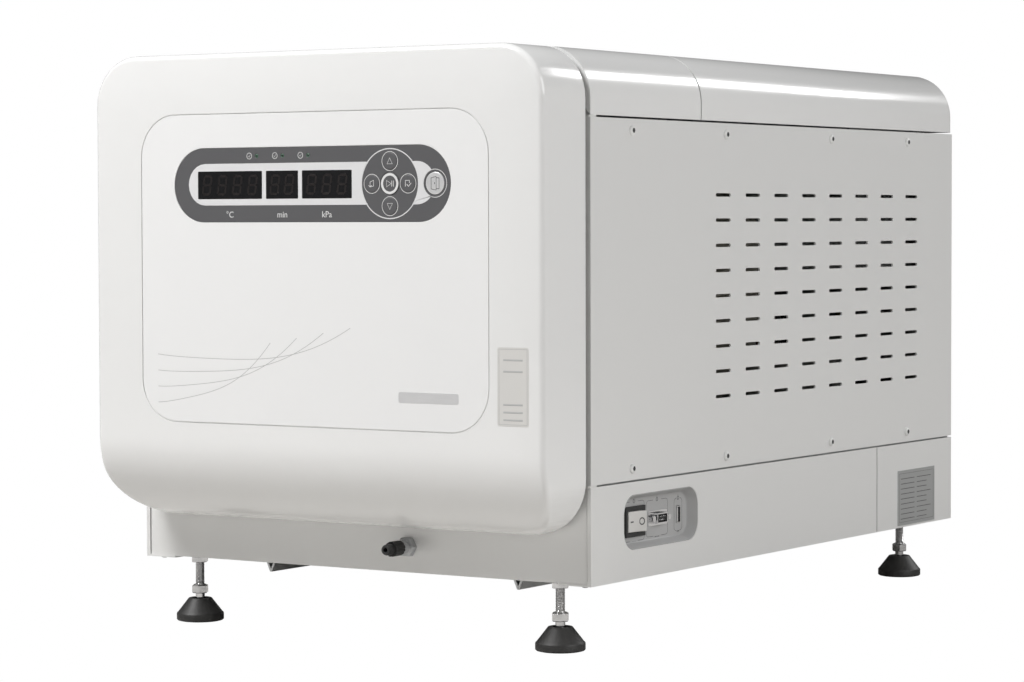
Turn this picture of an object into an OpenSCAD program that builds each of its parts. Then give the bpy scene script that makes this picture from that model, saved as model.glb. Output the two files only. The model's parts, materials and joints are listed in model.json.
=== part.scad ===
// Benchtop steam autoclave: a hinged door over a horizontal chamber, in a sheet-metal cabinet.
// Millimetres. X runs across the front, the door is on the -Y side, Z is up and the floor is z = 0.

/* [Cabinet] */
// Width across the side panels
body_w = 454; // [430:1:560]
// Depth from the front of the cabinet to the rear panel
body_d = 676; // [660:1:820]
// Height of the base section
base_h = 81; // [78:1:110]
// Height of the side panels
side_h = 293; // [290:1:360]
// Height of the rounded top cover
cover_h = 57; // [54:1:80]
// Radius of the long top edges
corner_r = 41; // [30:1:48]
// Distance from the front of the cabinet to the joint in the top cover
lid_split = 179; // [120:1:260]
// Thickness of the sheet metal panels
sheet_t = 1.5; // [1:0.1:2]
// Thickness of the moulded top cover
cover_t = 3; // [2:0.5:4]
// Open gap along the panel seams
seam_gap = 1.6; // [1:0.1:3]
// Length of the cover that wraps round the back of the base
wrap_len = 163; // [120:1:220]

/* [Door] */
// Thickness of the door
door_t = 63.6; // [60:0.1:80]
// Gap between the closed door and the cabinet
door_gap = 4; // [3.5:0.1:6]
// Height of the door's bottom edge above the base's bottom edge
door_lift = 41; // [30:1:50]
// Wall thickness of the door moulding
door_wall = 3; // [2.5:0.1:4]
// Radius of the door's top corners
door_top_r = 42; // [20:1:60]
// Radius of the door's bottom corners
door_low_r = 45; // [20:1:60]
// Radius of the chin, where the door face curves back
chin_r = 75; // [40:1:90]
// Height of the start of the chin above the base's bottom edge
chin_h = 110; // [90:1:115]
// Width of the shallow inlay on the door face
inlay_w = 350; // [300:1:380]
// Distance of the hinge axis from the left side of the door
pin_in = 14; // [13:0.5:16]
// Distance of the hinge axis from the back of the door
pin_deep = 28; // [26:0.5:32]

/* [Keypad] */
// Length of the keypad plate
keypad_w = 278; // [250:1:300]
// Height of the keypad plate
keypad_h = 61.4; // [50:0.2:70]
// Distance from the top of the door to the keypad's centre line
keypad_drop = 109.3; // [90:0.1:120]
// Travel of a key
key_travel = 0.5; // [0.3:0.1:1]

/* [Chamber] */
// Inside diameter of the chamber
chamber_d = 250; // [200:1:256]
// Straight length of the chamber
chamber_l = 450; // [360:1:460]
// Wall thickness of the chamber
chamber_t = 2.5; // [2:0.1:4]
// Thickness of the chamber's front flange
flange_t = 12; // [8:1:16]
// Thickness of the insulation jacket
jacket_t = 20; // [10:1:22]
// Number of instrument trays
tray_count = 3; // [2:1:3]

/* [Feet] */
// Clear height under the base
foot_h = 56; // [50:1:70]
// Diameter of a foot pad
pad_d = 41; // [36:1:50]
// Height of a foot pad
pad_h = 20; // [18:1:24]
// Diameter of a foot's threaded stud
stud_d = 8; // [6:1:10]
// Distance of the feet from the cabinet's centre plane
foot_x = 185; // [160:1:186]

/* [Vents] */
// Columns of vent slots in each side panel
vent_columns = 8; // [4:1:8]
// Rows of vent slots in each side panel
vent_rows = 9; // [4:1:10]
// Length of a vent slot
vent_len = 26; // [16:1:40]
// Height of a vent slot
vent_h = 3; // [2:0.5:5]

/* [Hidden] */
$fn = 48;

// Clearances: between pieces that are only near each other, and round a shaft that turns
fit_gap = 0.3;
run_gap = 0.05;
// How far a cutting shape passes through what it cuts
over = 1;

// Depth positions, from the door's face to the ends of the rear fittings
rear_reach = 24;
depth_all = door_t + door_gap + body_d + rear_reach;
y_door = -depth_all / 2;
y_back = y_door + door_t;
y_front = y_back + door_gap;
y_rear = y_front + body_d;
y_split = y_front + lid_split;
// Faces of the front plate of the inner frame, which stands behind the panels' front lips
plate_t = 2;
y_plate = y_front + sheet_t;
y_plate_back = y_plate + plate_t;

// Height positions, from the floor up
z_base = foot_h;
z_seam = z_base + base_h;
z_lid = z_seam + side_h;
z_top = z_lid + cover_h;
z_door = z_base + door_lift;
z_mid = (z_door + z_top) / 2;
z_chin = z_base + chin_h;
z_keys = z_top - keypad_drop;

// Half widths, from the outer faces in
half_w = body_w / 2;
half_in = half_w - sheet_t;
half_frame = half_w - cover_t - fit_gap;
lip_w = 12;
// Length of the frame's tabs that show at the ends of the seams
tab_y = 9;
tab_out = 2;

// Base
tray_t = 2;
flange_in = 30;
z_floor = z_base + sheet_t + tray_t;
front_flange = 3.6;
front_set = 0.8;
foot_front = 21;
foot_rear = 28;
foot_list = [
    ["front_left", -foot_x, y_front + foot_front],
    ["front_right", foot_x, y_front + foot_front],
    ["rear_left", -foot_x, y_rear - foot_rear],
    ["rear_right", foot_x, y_rear - foot_rear]
];
foot_hole_r = 10;
hat_h = 10;
hat_w = 32;
hat_t = 4;
z_hat = z_floor + hat_h;

// Feet: the ball on the end of each stud turns in its pad
nut_across = 13;
nut_h = 5;
ball_r = 5;
ball_z = 11;
pad_band = 7;
pad_neck_d = 19;
neck_hex_z = pad_h + 4;
neck_hex_h = 7;
stud_top = z_hat + hat_t + 12;

// Side panels and the screws that hold them
screw_edge = 9.5;
screw_first = 64.3;
screw_last = 100.2;
screw_pitch = 157.5;
screw_y = [screw_first, screw_first + screw_pitch, body_d - screw_last - screw_pitch,
    body_d - screw_last];
screw_r = 2;
screw_head_r = 4;
screw_head_h = 2.2;
screw_hole_r = 2.2;
vent_rear = 90.6;
vent_pitch_y = 52.6;
vent_pitch_z = 21.4;
rail_w = 20;

// Connector recess in the right side of the base
recess_y = y_front + 51;
recess_len = 122;
recess_z = z_base + 24;
recess_h = 45;
recess_r = 16;
recess_deep = 9;
recess_draft = 3.5;
recess_wall = 1.5;
recess_floor = half_w - recess_deep;
switch_y = recess_y + 31.2;
switch_z = recess_z + 21.6;
switch_w = 31;
switch_h = 25;
rocker_w = 26;
rocker_h = 17;
rocker_tilt = 9;
rocker_pin_r = 1.5;
rocker_pivot_x = recess_floor - 4;
serial_y = recess_y + 68.8;
serial_w = 30.8;
serial_h = 12.5;
usb_y = recess_y + 103.8;
usb_w = 5.6;
usb_h = 14;

// Door hinge: gooseneck arms on the cabinet, lugs inside the door
door_w = body_w - 4;
pin_x = -door_w / 2 + pin_in;
pin_y = y_back - pin_deep;
pin_r = 4;
arm_t = 8;
arm_h = 26;
arm_reach = 38;
lug_t = 5;
lug_gap = 0.5;
hinge_z = [z_mid - 115, z_mid + 115];

// Door lock: a bolt drops through the window in the door's strike
strike_x = door_w / 2 - 33;
strike_w = 20;
strike_t = 5;
strike_y = y_plate_back + 12;
bolt_r = 4;
bolt_len = 45;
bolt_clear = 2;
strike_foot_t = 2.5;
strike_foot_h = 28;
strike_window = 12.4;

// Chamber
chamber_r = chamber_d / 2;
chamber_out = chamber_r + chamber_t;
flange_w = 21;
flange_r = chamber_r + flange_w;
dish_h = 30;
port_r = 8;
port_len = 14;
y_ports = y_front + chamber_l + dish_h + port_len;
port_z = [z_mid + 55, z_mid - 55];
heater_t = 3;
jacket_r = chamber_out + heater_t + 2 * fit_gap;
jacket_out = jacket_r + jacket_t;
plate_r = flange_r - 3;
plate_deep = 13.5;
plate_proud = 0.5;
seal_in = chamber_r + 4;
seal_w = 8;
seal_deep = 4;
beam_h = 40;
beam_t = 12;
beam_gap = 3;
beam_stud_r = 8;

// Keypad, from the keypad's centre
bezel_t = 2;
bezel_set = 0.4;
inlay_set = 0.8;
inlay_drop = 50;
inlay_h = 257.3;
inlay_r = 36;
face_t = 4;
door_drop = 0.4;
dial_x = 80.4;
key_list = [
    ["key_up", dial_x, 18, 7],
    ["key_down", dial_x, -18, 7],
    ["key_left", dial_x - 17.6, 0, 7],
    ["key_right", dial_x + 17.6, 0, 7],
    ["key_start", dial_x, 0, 9],
    ["key_door", 124, 0, 9]
];
window_list = [[-114.3, -47.6], [-43.5, -10.8], [-6.8, 43]];
window_h = 23;
led_list = [-53.2, -26.9, -0.9];
led_up = 23.8;
led_r = 1.4;
key_t = 3;
stem_r = 2;
board_deep = 17;
board_t = 1.6;
switch_top = 5;

// Lid hinges at the back
lid_over = 2;
knuckle_r = 4;
lid_pin_r = 2;
leaf_t = 2;
leaf_w = 42;
leaf_h = 24;
lid_axis_y = y_rear + lid_over + fit_gap + knuckle_r;
lid_hinge_x = [-140, 140];

// Drain valve
drain_x = 50;
drain_z = z_base + 23;
drain_stem_r = 3.2;
drain_knob_r = 6.25;
drain_knob_len = 12;
drain_nut_t = 6;
drain_collar = 7;
drain_nipple_r = 4.5;
drain_nipple_len = 8;
y_drain = y_front + front_set;
y_drain_knob = y_drain - drain_nut_t - drain_collar;

// Tanks, behind the chamber under the lid
tank_t = 3;
tank_side = 26;
tank_gap = 10;
y_tank = y_ports + 12;
y_tank_end = y_rear - sheet_t - 12;
z_tank = z_lid - 140;
z_tank_top = z_top - cover_t - 18;

// Ports that the pipes run between: on the steam generator, the pump and the valve block
pipe_r = 3.5;
gen_x = -150;
gen_y = y_rear - 84;
gen_r = 40;
gen_port = 10;
z_gen = z_tank - 40;
z_gen_inlet = z_floor + 40;
pump_port_x = 18;
y_pump = y_front + 444;
z_pump = z_floor + 50;
valve_in_x = 110;
y_valves = y_front + 316;
z_valves = z_floor + 12;

// Fan, low behind the rear panel
fan_size = 120;
fan_t = 25;
fan_z = z_seam + 8 + fan_size / 2;
fan_r = 54;
fan_bore_r = 56;
fan_hub_r = 18;
fan_shaft_r = 2;
y_fan = y_rear - sheet_t - 4 - fan_t;

// Things on the back
inlet_x = 150;
inlet_z = z_seam + 42;
barb_x = [-170, -145, -120];
barb_z = z_seam + 24;
barb_r = 5;
valve_x = 110;
valve_z = z_seam + 118;
filter_x = 170;
filter_z = z_seam + 118;

white = [0.93, 0.93, 0.92];
grey = [0.45, 0.45, 0.45];
steel = [0.72, 0.73, 0.75];
black = [0.08, 0.08, 0.08];

// ---- Shared shapes ----

module box(x, y, z) translate([x[0], y[0], z[0]]) cube([x[1] - x[0], y[1] - y[0], z[1] - z[0]]);

module along_y(y0, y1) translate([0, y1, 0]) rotate([90, 0, 0]) linear_extrude(height = y1 - y0)
    children();

module along_x(x0, x1) translate([x0, 0, 0]) rotate([90, 0, 90]) linear_extrude(height = x1 - x0)
    children();

module rod_y(x, z, r, y0, y1) translate([x, y0, z]) rotate([-90, 0, 0])
    cylinder(r = r, h = y1 - y0);

module rod_x(y, z, r, x0, x1) translate([x0, y, z]) rotate([0, 90, 0])
    cylinder(r = r, h = x1 - x0);

module rod_z(x, y, r, z0, z1) translate([x, y, z0]) cylinder(r = r, h = z1 - z0);

module hex_y(x, z, across, y0, y1) translate([x, y0, z]) rotate([-90, 0, 0])
    cylinder(d = across / cos(30), h = y1 - y0, $fn = 6);

module rounded(w, h, r) {
    square([w, h - 2 * r], center = true);
    square([w - 2 * r, h], center = true);
    for (x = [-1, 1], z = [-1, 1]) translate([x * (w / 2 - r), z * (h / 2 - r)]) circle(r = r);
}

module slot(len, h) {
    square([len - h, h], center = true);
    for (s = [-1, 1]) translate([s * (len - h) / 2, 0]) circle(d = h, $fn = 24);
}

// Flat bottom and sides, rounded top corners
module arch(w, z0, z1, r) intersection() {
    translate([-w / 2, z0]) square([w, z1 - z0]);
    union() {
        translate([-w / 2, z0]) square([w, z1 - r - z0]);
        translate([-w / 2 + r, z0]) square([w - 2 * r, z1 - z0]);
        for (s = [-1, 1]) translate([s * (w / 2 - r), z1 - r]) circle(r = r);
    }
}

module spin_y(y) translate([0, y, z_mid]) rotate([-90, 0, 0]) rotate_extrude($fn = 96) children();

module pipe(points, r) {
    for (i = [0 : len(points) - 2]) {
        a = points[i];
        b = points[i + 1];
        v = b - a;
        length = norm(v);
        translate(a) rotate([0, acos(v[2] / length), atan2(v[1], v[0])])
            cylinder(r = r, h = length, $fn = 24);
    }
    for (i = [1 : len(points) - 2]) translate(points[i]) sphere(r = r, $fn = 24);
}

function dish(r, h, y) = [for (a = [0 : 10 : 90]) [r * cos(a), y + h * sin(a)]];

// ---- Base ----

module hat_bracket(x, y) {
    difference() {
        box([x - hat_w / 2, x + hat_w / 2], [y - hat_w / 2, y + hat_w / 2],
            [z_floor, z_hat + hat_t]);
        box([x - hat_w / 2 + hat_t, x + hat_w / 2 - hat_t], [y - hat_w, y + hat_w],
            [z_floor - over, z_hat]);
    }
}

module base_tray() color(steel) {
    side_x = half_frame - sheet_t;
    z0 = z_base + sheet_t;
    difference() {
        union() {
            box([-half_frame, half_frame], [y_plate, y_rear - sheet_t - fit_gap], [z0, z_floor]);
            for (x = [[-half_frame, -side_x], [side_x, half_frame]])
                box(x, [y_front + tab_y + fit_gap, y_rear - sheet_t - fit_gap],
                    [z0, z_seam + screw_edge * 2]);
            for (foot = foot_list) hat_bracket(foot[1], foot[2]);
        }
        for (foot = foot_list) {
            rod_z(foot[1], foot[2], foot_hole_r, z0 - over, z_floor + over);
            rod_z(foot[1], foot[2], stud_d / 2 + run_gap, z_floor, z_hat + hat_t + over);
        }
        for (y = screw_y) rod_x(y_front + y, z_seam + screw_edge, screw_r + run_gap,
            -half_w - over, half_w + over);
        box([side_x - over, half_w], [recess_y - 6, recess_y + recess_len + 6],
            [recess_z - 6, recess_z + recess_h + 6]);
    }
}

module base_front_panel() color(white) difference() {
    half = half_w - front_flange - seam_gap / 2;
    box([-half, half], [y_drain, y_drain + sheet_t - front_set], [z_base + sheet_t, z_seam - seam_gap]);
    rod_y(drain_x, drain_z, 5.2, y_drain - over, y_drain + sheet_t + over);
}

module base_side() {
    y1 = y_rear - wrap_len - seam_gap / 2;
    z1 = z_seam - seam_gap;
    box([half_in, half_w], [y_front, y1], [z_base, z1]);
    box([half_w - front_flange, half_w], [y_front, y_front + sheet_t], [z_base, z1]);
    box([half_in - flange_in, half_w], [y_front, y1], [z_base, z_base + sheet_t]);
}

module base_side_left() color(white) mirror([1, 0, 0]) base_side();

module base_side_right() color(white) difference() {
    base_side();
    translate([0, recess_y + recess_len / 2, recess_z + recess_h / 2]) along_x(half_in - over, half_w + over)
        rounded(recess_len, recess_h, recess_r);
}

module base_rear_cover() color(white) {
    z1 = z_seam - seam_gap;
    y0 = y_rear - wrap_len + seam_gap / 2;
    box([-half_w, half_w], [y_rear - sheet_t, y_rear], [z_base, z1]);
    for (s = [0, 1]) mirror([s, 0, 0]) {
        box([half_in, half_w], [y0, y_rear], [z_base, z1]);
        difference() {
            box([half_in - flange_in, half_w], [y0, y_rear], [z_base, z_base + sheet_t]);
            rod_z(foot_x, y_rear - foot_rear, foot_hole_r, z_base - over, z_base + sheet_t + over);
        }
    }
}

module base_rails() color(steel) {
    depth = 10;
    half = 6;
    wall = 1.6;
    z0 = z_base - depth;
    z1 = z_base + sheet_t;
    for (x = [-113, 140]) translate([x, 0, 0]) along_y(y_front + 28, y_rear - 30) difference() {
        polygon([[-half, z1], [-1, z0], [1, z0], [half, z1]]);
        polygon([[-half + wall, z1 + over], [0, z0 + 1.5 * wall], [half - wall, z1 + over]]);
    }
}

module rating_plate() color(steel)
    box([half_w, half_w + 0.6], [y_rear - 119, y_rear - 39], [z_base + 2, z_base + 54]);

// ---- Cabinet ----

module vents() for (c = [0 : vent_columns - 1], r = [0 : vent_rows - 1])
    translate([y_rear - vent_rear - c * vent_pitch_y,
        z_seam + side_h / 2 + (r - (vent_rows - 1) / 2) * vent_pitch_z]) slot(vent_len, vent_h);

module side_panel() {
    difference() {
        union() {
            box([half_in, half_w], [y_front, y_rear], [z_seam, z_lid]);
            box([half_in - lip_w, half_w], [y_front, y_front + sheet_t], [z_seam, z_lid]);
        }
        along_x(half_in - over, half_w + over) vents();
        for (y = screw_y, z = [z_seam + screw_edge, z_lid - screw_edge])
            rod_x(y_front + y, z, screw_hole_r, half_in - over, half_w + over);
    }
}

module side_panel_left() color(white) mirror([1, 0, 0]) side_panel();

module side_panel_right() color(white) side_panel();

module fan_grille() for (z = [-48 : 8 : 48]) {
    half = sqrt(fan_r * fan_r - z * z);
    for (s = [-1, 1]) translate([s * (half / 2 + 2), fan_z + z]) slot(half - 2, 4);
}

module rear_panel() color(white) {
    half = half_in - fit_gap;
    difference() {
        box([-half, half], [y_rear - sheet_t, y_rear], [z_seam, z_lid - seam_gap]);
        along_y(y_rear - sheet_t - over, y_rear + over) fan_grille();
        box([inlet_x - 21, inlet_x + 21], [y_rear - sheet_t - over, y_rear + over],
            [inlet_z - 13, inlet_z + 23]);
        for (x = barb_x) rod_y(x, barb_z, barb_r + 1, y_rear - sheet_t - over, y_rear + over);
        rod_y(valve_x, valve_z, 6.2, y_rear - sheet_t - over, y_rear + over);
        rod_y(filter_x, filter_z, 6.2, y_rear - sheet_t - over, y_rear + over);
    }
}

module inner_frame() color(steel) {
    rail_z = z_lid - sheet_t;
    difference() {
        union() {
            along_y(y_plate, y_plate_back) arch(2 * half_frame, z_seam, z_top - cover_t - fit_gap,
                corner_r - cover_t - fit_gap);
            for (s = [0, 1]) mirror([s, 0, 0]) {
                box([half_frame - sheet_t, half_frame], [y_plate, y_rear - sheet_t - fit_gap],
                    [rail_z - rail_w, rail_z]);
                box([half_frame - rail_w, half_frame], [y_plate, y_rear - sheet_t - fit_gap],
                    [rail_z - sheet_t, rail_z]);
                // On the hinge side the tabs stay behind the corner of the door as it swings
                for (z = [z_seam, z_lid + seam_gap]) {
                    box([half_in - lip_w, half_w], [y_front - (s == 0 ? tab_out : 0), y_front + tab_y],
                        [z - seam_gap, z]);
                    box([half_in - lip_w, half_frame], [y_front, y_plate_back], [z - seam_gap, z]);
                }
            }
        }
        for (s = [-1, 1], y = screw_y) rod_x(y_front + y, z_lid - screw_edge, screw_r + run_gap,
            s * half_w - 10, s * half_w + 10);
        rod_y(0, z_mid, flange_r + fit_gap, y_front - 5, y_plate_back + over);
        for (z = hinge_z) box([pin_x + arm_reach - arm_t - fit_gap, pin_x + arm_reach + fit_gap],
            [y_front - 5, y_plate_back + over], [z - arm_h / 2 - fit_gap, z + arm_h / 2 + fit_gap]);
        box([strike_x - strike_w / 2 - 3, strike_x + strike_w / 2 + 5],
            [y_front - 5, y_plate_back + over], [z_mid - strike_t, z_mid + strike_t]);
    }
    cradle_w = 2 * half_frame - 2 * sheet_t - 2;
    difference() {
        box([-cradle_w / 2, cradle_w / 2], [y_front + chamber_l - 8, y_front + chamber_l - 4],
            [z_seam - 6, z_mid - chamber_r / 2]);
        rod_y(0, z_mid, chamber_out + fit_gap, y_front + chamber_l - 9, y_front + chamber_l);
    }
}

module top_cover_front() color(white) {
    z0 = z_lid + seam_gap;
    difference() {
        along_y(y_front, y_split - seam_gap / 2) arch(body_w, z0, z_top, corner_r);
        along_y(y_plate, y_split) arch(body_w - 2 * cover_t, z0 - over, z_top - cover_t,
            corner_r - cover_t);
        along_y(y_front - over, y_plate + over) arch(body_w - 2 * lip_w, z0 - over, z_top - lip_w,
            corner_r - lip_w);
    }
}

module lid_shell() {
    z0 = z_lid + seam_gap;
    y0 = y_split + seam_gap / 2;
    difference() {
        along_y(y0, y_rear + lid_over) arch(body_w, z0, z_top, corner_r);
        along_y(y0 - over, y_rear + lid_over - cover_t) arch(body_w - 2 * cover_t, z0 - over,
            z_top - cover_t, corner_r - cover_t);
    }
}

module knuckle(x0, x1) rod_x(lid_axis_y, z_lid, knuckle_r, x0, x1);

module top_lid() color(white) {
    third = leaf_w / 6;
    difference() {
        union() {
            lid_shell();
            for (x = lid_hinge_x) {
                box([x - third + fit_gap, x + third - fit_gap],
                    [y_rear + lid_over - over, y_rear + lid_over + leaf_t],
                    [z_lid + seam_gap, z_lid + leaf_h]);
                box([x - third + fit_gap, x + third - fit_gap], [y_rear + lid_over, lid_axis_y],
                    [z_lid + seam_gap, z_lid + knuckle_r]);
                knuckle(x - third + fit_gap, x + third - fit_gap);
            }
        }
        for (x = lid_hinge_x) rod_x(lid_axis_y, z_lid, lid_pin_r + run_gap, x - leaf_w, x + leaf_w);
    }
}

module lid_hinges() color(steel) {
    third = leaf_w / 6;
    for (x = lid_hinge_x) {
        box([x - leaf_w / 2, x + leaf_w / 2], [y_rear, y_rear + leaf_t],
            [z_lid - leaf_h, z_lid - knuckle_r - fit_gap]);
        for (side = [[x - leaf_w / 2, x - third], [x + third, x + leaf_w / 2]]) {
            knuckle(side[0], side[1]);
            box(side, [y_rear, lid_axis_y], [z_lid - knuckle_r - 2, z_lid - fit_gap]);
        }
        rod_x(lid_axis_y, z_lid, lid_pin_r, x - leaf_w / 2, x + leaf_w / 2);
    }
}

// A button-head screw pointing along -X, with its head's seat at x
module side_screw(x, y, z) {
    difference() {
        rod_x(y, z, screw_head_r, x, x + screw_head_h);
        translate([x + screw_head_h / 2, y, z]) rotate([0, 90, 0])
            cylinder(r = 1.5, h = screw_head_h, $fn = 6);
    }
    rod_x(y, z, screw_r, x - 9, x + screw_head_h / 4);
}

module fasteners() color(steel) {
    for (s = [0, 1], y = screw_y, z = [z_seam + screw_edge, z_lid - screw_edge])
        mirror([s, 0, 0]) side_screw(half_w, y_front + y, z);
    // Jam nuts on the front feet
    for (i = [0, 1]) translate([foot_list[i][1], foot_list[i][2], z_base - nut_h]) difference() {
        cylinder(d = nut_across / cos(30), h = nut_h, $fn = 6);
        translate([0, 0, -over]) cylinder(r = stud_d / 2 + run_gap, h = nut_h + 2 * over);
    }
    // Pan-head screws under the base flanges
    for (x = [-half_in + 10, half_in - 10], y = [y_front + 10, y_front + body_d / 4,
        y_rear - wrap_len - 30, y_rear - wrap_len + 30, y_rear - 66])
        rod_z(x, y, 3.5, z_base - 2, z_base);
}

// ---- Connectors in the base ----

module recess_block(grow, deep) {
    small = [recess_len - 2 * recess_draft + 2 * grow, recess_h - 2 * recess_draft + 2 * grow];
    translate([0, recess_y + recess_len / 2, recess_z + recess_h / 2]) hull() {
        along_x(half_w - 0.2, half_w) rounded(recess_len - 2 * fit_gap, recess_h - 2 * fit_gap,
            recess_r - fit_gap, $fn = 32);
        along_x(half_w - deep, half_w - deep + 0.2) rounded(small[0], small[1],
            recess_r - recess_draft + grow, $fn = 32);
    }
}

module connector_recess() color(grey) difference() {
    recess_block(recess_wall, recess_deep + recess_wall);
    translate([0, recess_y + recess_len / 2, recess_z + recess_h / 2]) hull() {
        along_x(half_w, half_w + over) rounded(recess_len - 4, recess_h - 4, recess_r - 2, $fn = 32);
        along_x(recess_floor, recess_floor + 0.2) rounded(recess_len - 2 * recess_draft,
            recess_h - 2 * recess_draft, recess_r - recess_draft, $fn = 32);
    }
    x = [recess_floor - 4, recess_floor + over];
    box(x, [switch_y - 13.7, switch_y + 13.7], [switch_z - 10.8, switch_z + 10.8]);
    box(x, [serial_y - 9, serial_y + 9], [switch_z - 4.8, switch_z + 4.8]);
    box(x, [usb_y - usb_w / 2 - fit_gap, usb_y + usb_w / 2 + fit_gap],
        [switch_z - usb_h / 2 - fit_gap, switch_z + usb_h / 2 + fit_gap]);
}

module serial_port() {
    x0 = recess_floor - 10;
    difference() {
        union() {
            box([x0, recess_floor + 5.5], [serial_y - 8.5, serial_y + 8.5], [switch_z - 4.4, switch_z + 4.4]);
            box([recess_floor, recess_floor + 0.8], [serial_y - serial_w / 2, serial_y + serial_w / 2],
                [switch_z - serial_h / 2, switch_z + serial_h / 2]);
            for (s = [-1, 1]) translate([recess_floor, serial_y + s * 12.5, switch_z])
                rotate([0, 90, 0]) cylinder(d = 5.5, h = 5, $fn = 6);
        }
        box([recess_floor - 1, recess_floor + 7], [serial_y - 7.5, serial_y + 7.5],
            [switch_z - 3.4, switch_z + 3.4]);
    }
}

module usb_port() {
    difference() {
        box([recess_floor - 12, recess_floor + 1], [usb_y - usb_w / 2, usb_y + usb_w / 2],
            [switch_z - usb_h / 2, switch_z + usb_h / 2]);
        box([recess_floor - 9, recess_floor + 2], [usb_y - usb_w / 2 + 0.6, usb_y + usb_w / 2 - 0.6],
            [switch_z - usb_h / 2 + 0.6, switch_z + usb_h / 2 - 0.6]);
    }
    box([recess_floor - 9, recess_floor], [usb_y - 1, usb_y + 0.2], [switch_z - 5.5, switch_z + 5.5]);
}

module data_ports() color(steel) {
    serial_port();
    usb_port();
}

module rocker_bezel() color(black) difference() {
    union() {
        box([recess_floor, recess_floor + 2], [switch_y - switch_w / 2, switch_y + switch_w / 2],
            [switch_z - switch_h / 2, switch_z + switch_h / 2]);
        box([recess_floor - 16, recess_floor], [switch_y - 13.4, switch_y + 13.4],
            [switch_z - 10.5, switch_z + 10.5]);
    }
    box([recess_floor - 12, recess_floor + 3],
        [switch_y - rocker_w / 2 - fit_gap, switch_y + rocker_w / 2 + fit_gap],
        [switch_z - rocker_h / 2 - fit_gap, switch_z + rocker_h / 2 + fit_gap]);
    rod_z(rocker_pivot_x, switch_y, rocker_pin_r + run_gap, switch_z - rocker_h / 2 - 1.6,
        switch_z + rocker_h / 2 + 1.6);
}

module rocker() color(white) translate([rocker_pivot_x, switch_y, 0]) rotate([0, 0, -rocker_tilt]) {
    half = rocker_w / 2 - 1.2;
    face = recess_floor - rocker_pivot_x + 4;
    translate([0, 0, switch_z - rocker_h / 2]) linear_extrude(height = rocker_h)
        polygon([[-3, -3], [-3, 3], [face - 4.5, half], [face + 1, half], [face - 0.6, 0], [face + 1, -half],
            [face - 4.5, -half]]);
    translate([0, 0, switch_z - rocker_h / 2 - 1.5]) cylinder(r = rocker_pin_r, h = rocker_h + 3);
}

// ---- Drain valve ----

module drain_valve() color(steel) {
    y_nipple = y_drain_knob - drain_knob_len - 2 * fit_gap;
    difference() {
        union() {
            hex_y(drain_x, drain_z, 15, y_drain - drain_nut_t, y_drain);
            rod_y(drain_x, drain_z, 5.6, y_drain_knob, y_drain - drain_nut_t);
            rod_y(drain_x, drain_z, 5, y_drain, y_drain + 24);
            rod_y(drain_x, drain_z, drain_stem_r, y_nipple - 1, y_drain_knob);
            rod_y(drain_x, drain_z, drain_nipple_r, y_nipple - drain_nipple_len, y_nipple);
        }
        rod_y(drain_x, drain_z, 2, y_nipple - drain_nipple_len - over, y_drain + 20);
    }
}

module drain_knob() color(black) difference() {
    y0 = y_drain_knob - drain_knob_len;
    rod_y(drain_x, drain_z, drain_knob_r, y0 - fit_gap, y_drain_knob - fit_gap);
    rod_y(drain_x, drain_z, drain_stem_r + run_gap, y0 - over, y_drain_knob + over);
    // Finger grooves
    for (a = [0 : 30 : 330]) translate([drain_x, y0 - over, drain_z]) rotate([-90, a, 0])
        translate([drain_knob_r + 0.3, 0, 0]) cylinder(r = 0.8, h = drain_knob_len + 2 * over, $fn = 16);
}

// ---- Chamber ----

module chamber() color(steel) {
    far = dish(chamber_out, dish_h + chamber_t, chamber_l);
    near = dish(chamber_r, dish_h, chamber_l);
    difference() {
        union() {
            spin_y(y_front) polygon(concat([[chamber_r, 0], [flange_r, 0], [flange_r, flange_t],
                [chamber_out, flange_t]], far, [for (i = [len(near) - 1 : -1 : 0]) near[i]]));
            for (z = port_z) rod_y(0, z, port_r, y_front + chamber_l + dish_h * 0.8, y_ports);
        }
        for (z = port_z) rod_y(0, z, 4, y_front + chamber_l, y_ports + over);
    }
}

module sleeve(inner, outer, y0, y1) difference() {
    rod_y(0, z_mid, outer, y0, y1, $fn = 96);
    rod_y(0, z_mid, inner, y0 - over, y1 + over, $fn = 96);
}

// A wool jacket, with the heater band inside it
module insulation() color([0.85, 0.83, 0.78]) {
    sleeve(jacket_r, jacket_out, y_front + flange_t + 8, y_front + chamber_l - 14);
    sleeve(chamber_out + fit_gap, chamber_out + heater_t, y_front + 90, y_front + chamber_l - 60);
}

module tray(z, w, y0, y1) {
    t = 1.2;
    rim = 12;
    difference() {
        box([-w / 2, w / 2], [y0, y1], [z, z + rim]);
        box([-w / 2 + t, w / 2 - t], [y0 + t, y1 - t], [z + t, z + rim + over]);
    }
}

module tray_rack() color(steel) {
    w = chamber_r * 1.36;
    t = 1.5;
    foot = 6;
    low = z_mid - chamber_r * 0.66;
    high = z_mid + chamber_r * 0.6;
    y = [y_front + 40, y_front + chamber_l - 25];
    step = (high - low) / tray_count;
    for (s = [0, 1]) mirror([s, 0, 0]) {
        box([w / 2, w / 2 + t], y, [low, high]);
        for (i = [0 : tray_count - 1]) box([w / 2 - 8, w / 2], y,
            [low + i * step + foot, low + i * step + foot + t]);
    }
    for (yy = [y[0], y[1] - t]) box([-w / 2 - t, w / 2 + t], [yy, yy + t], [low, low + foot]);
    for (i = [0 : tray_count - 1]) tray(low + i * step + foot + t, w - 1, y[0] + 4, y[1] - 4);
}

// ---- Steam and water ----

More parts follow.
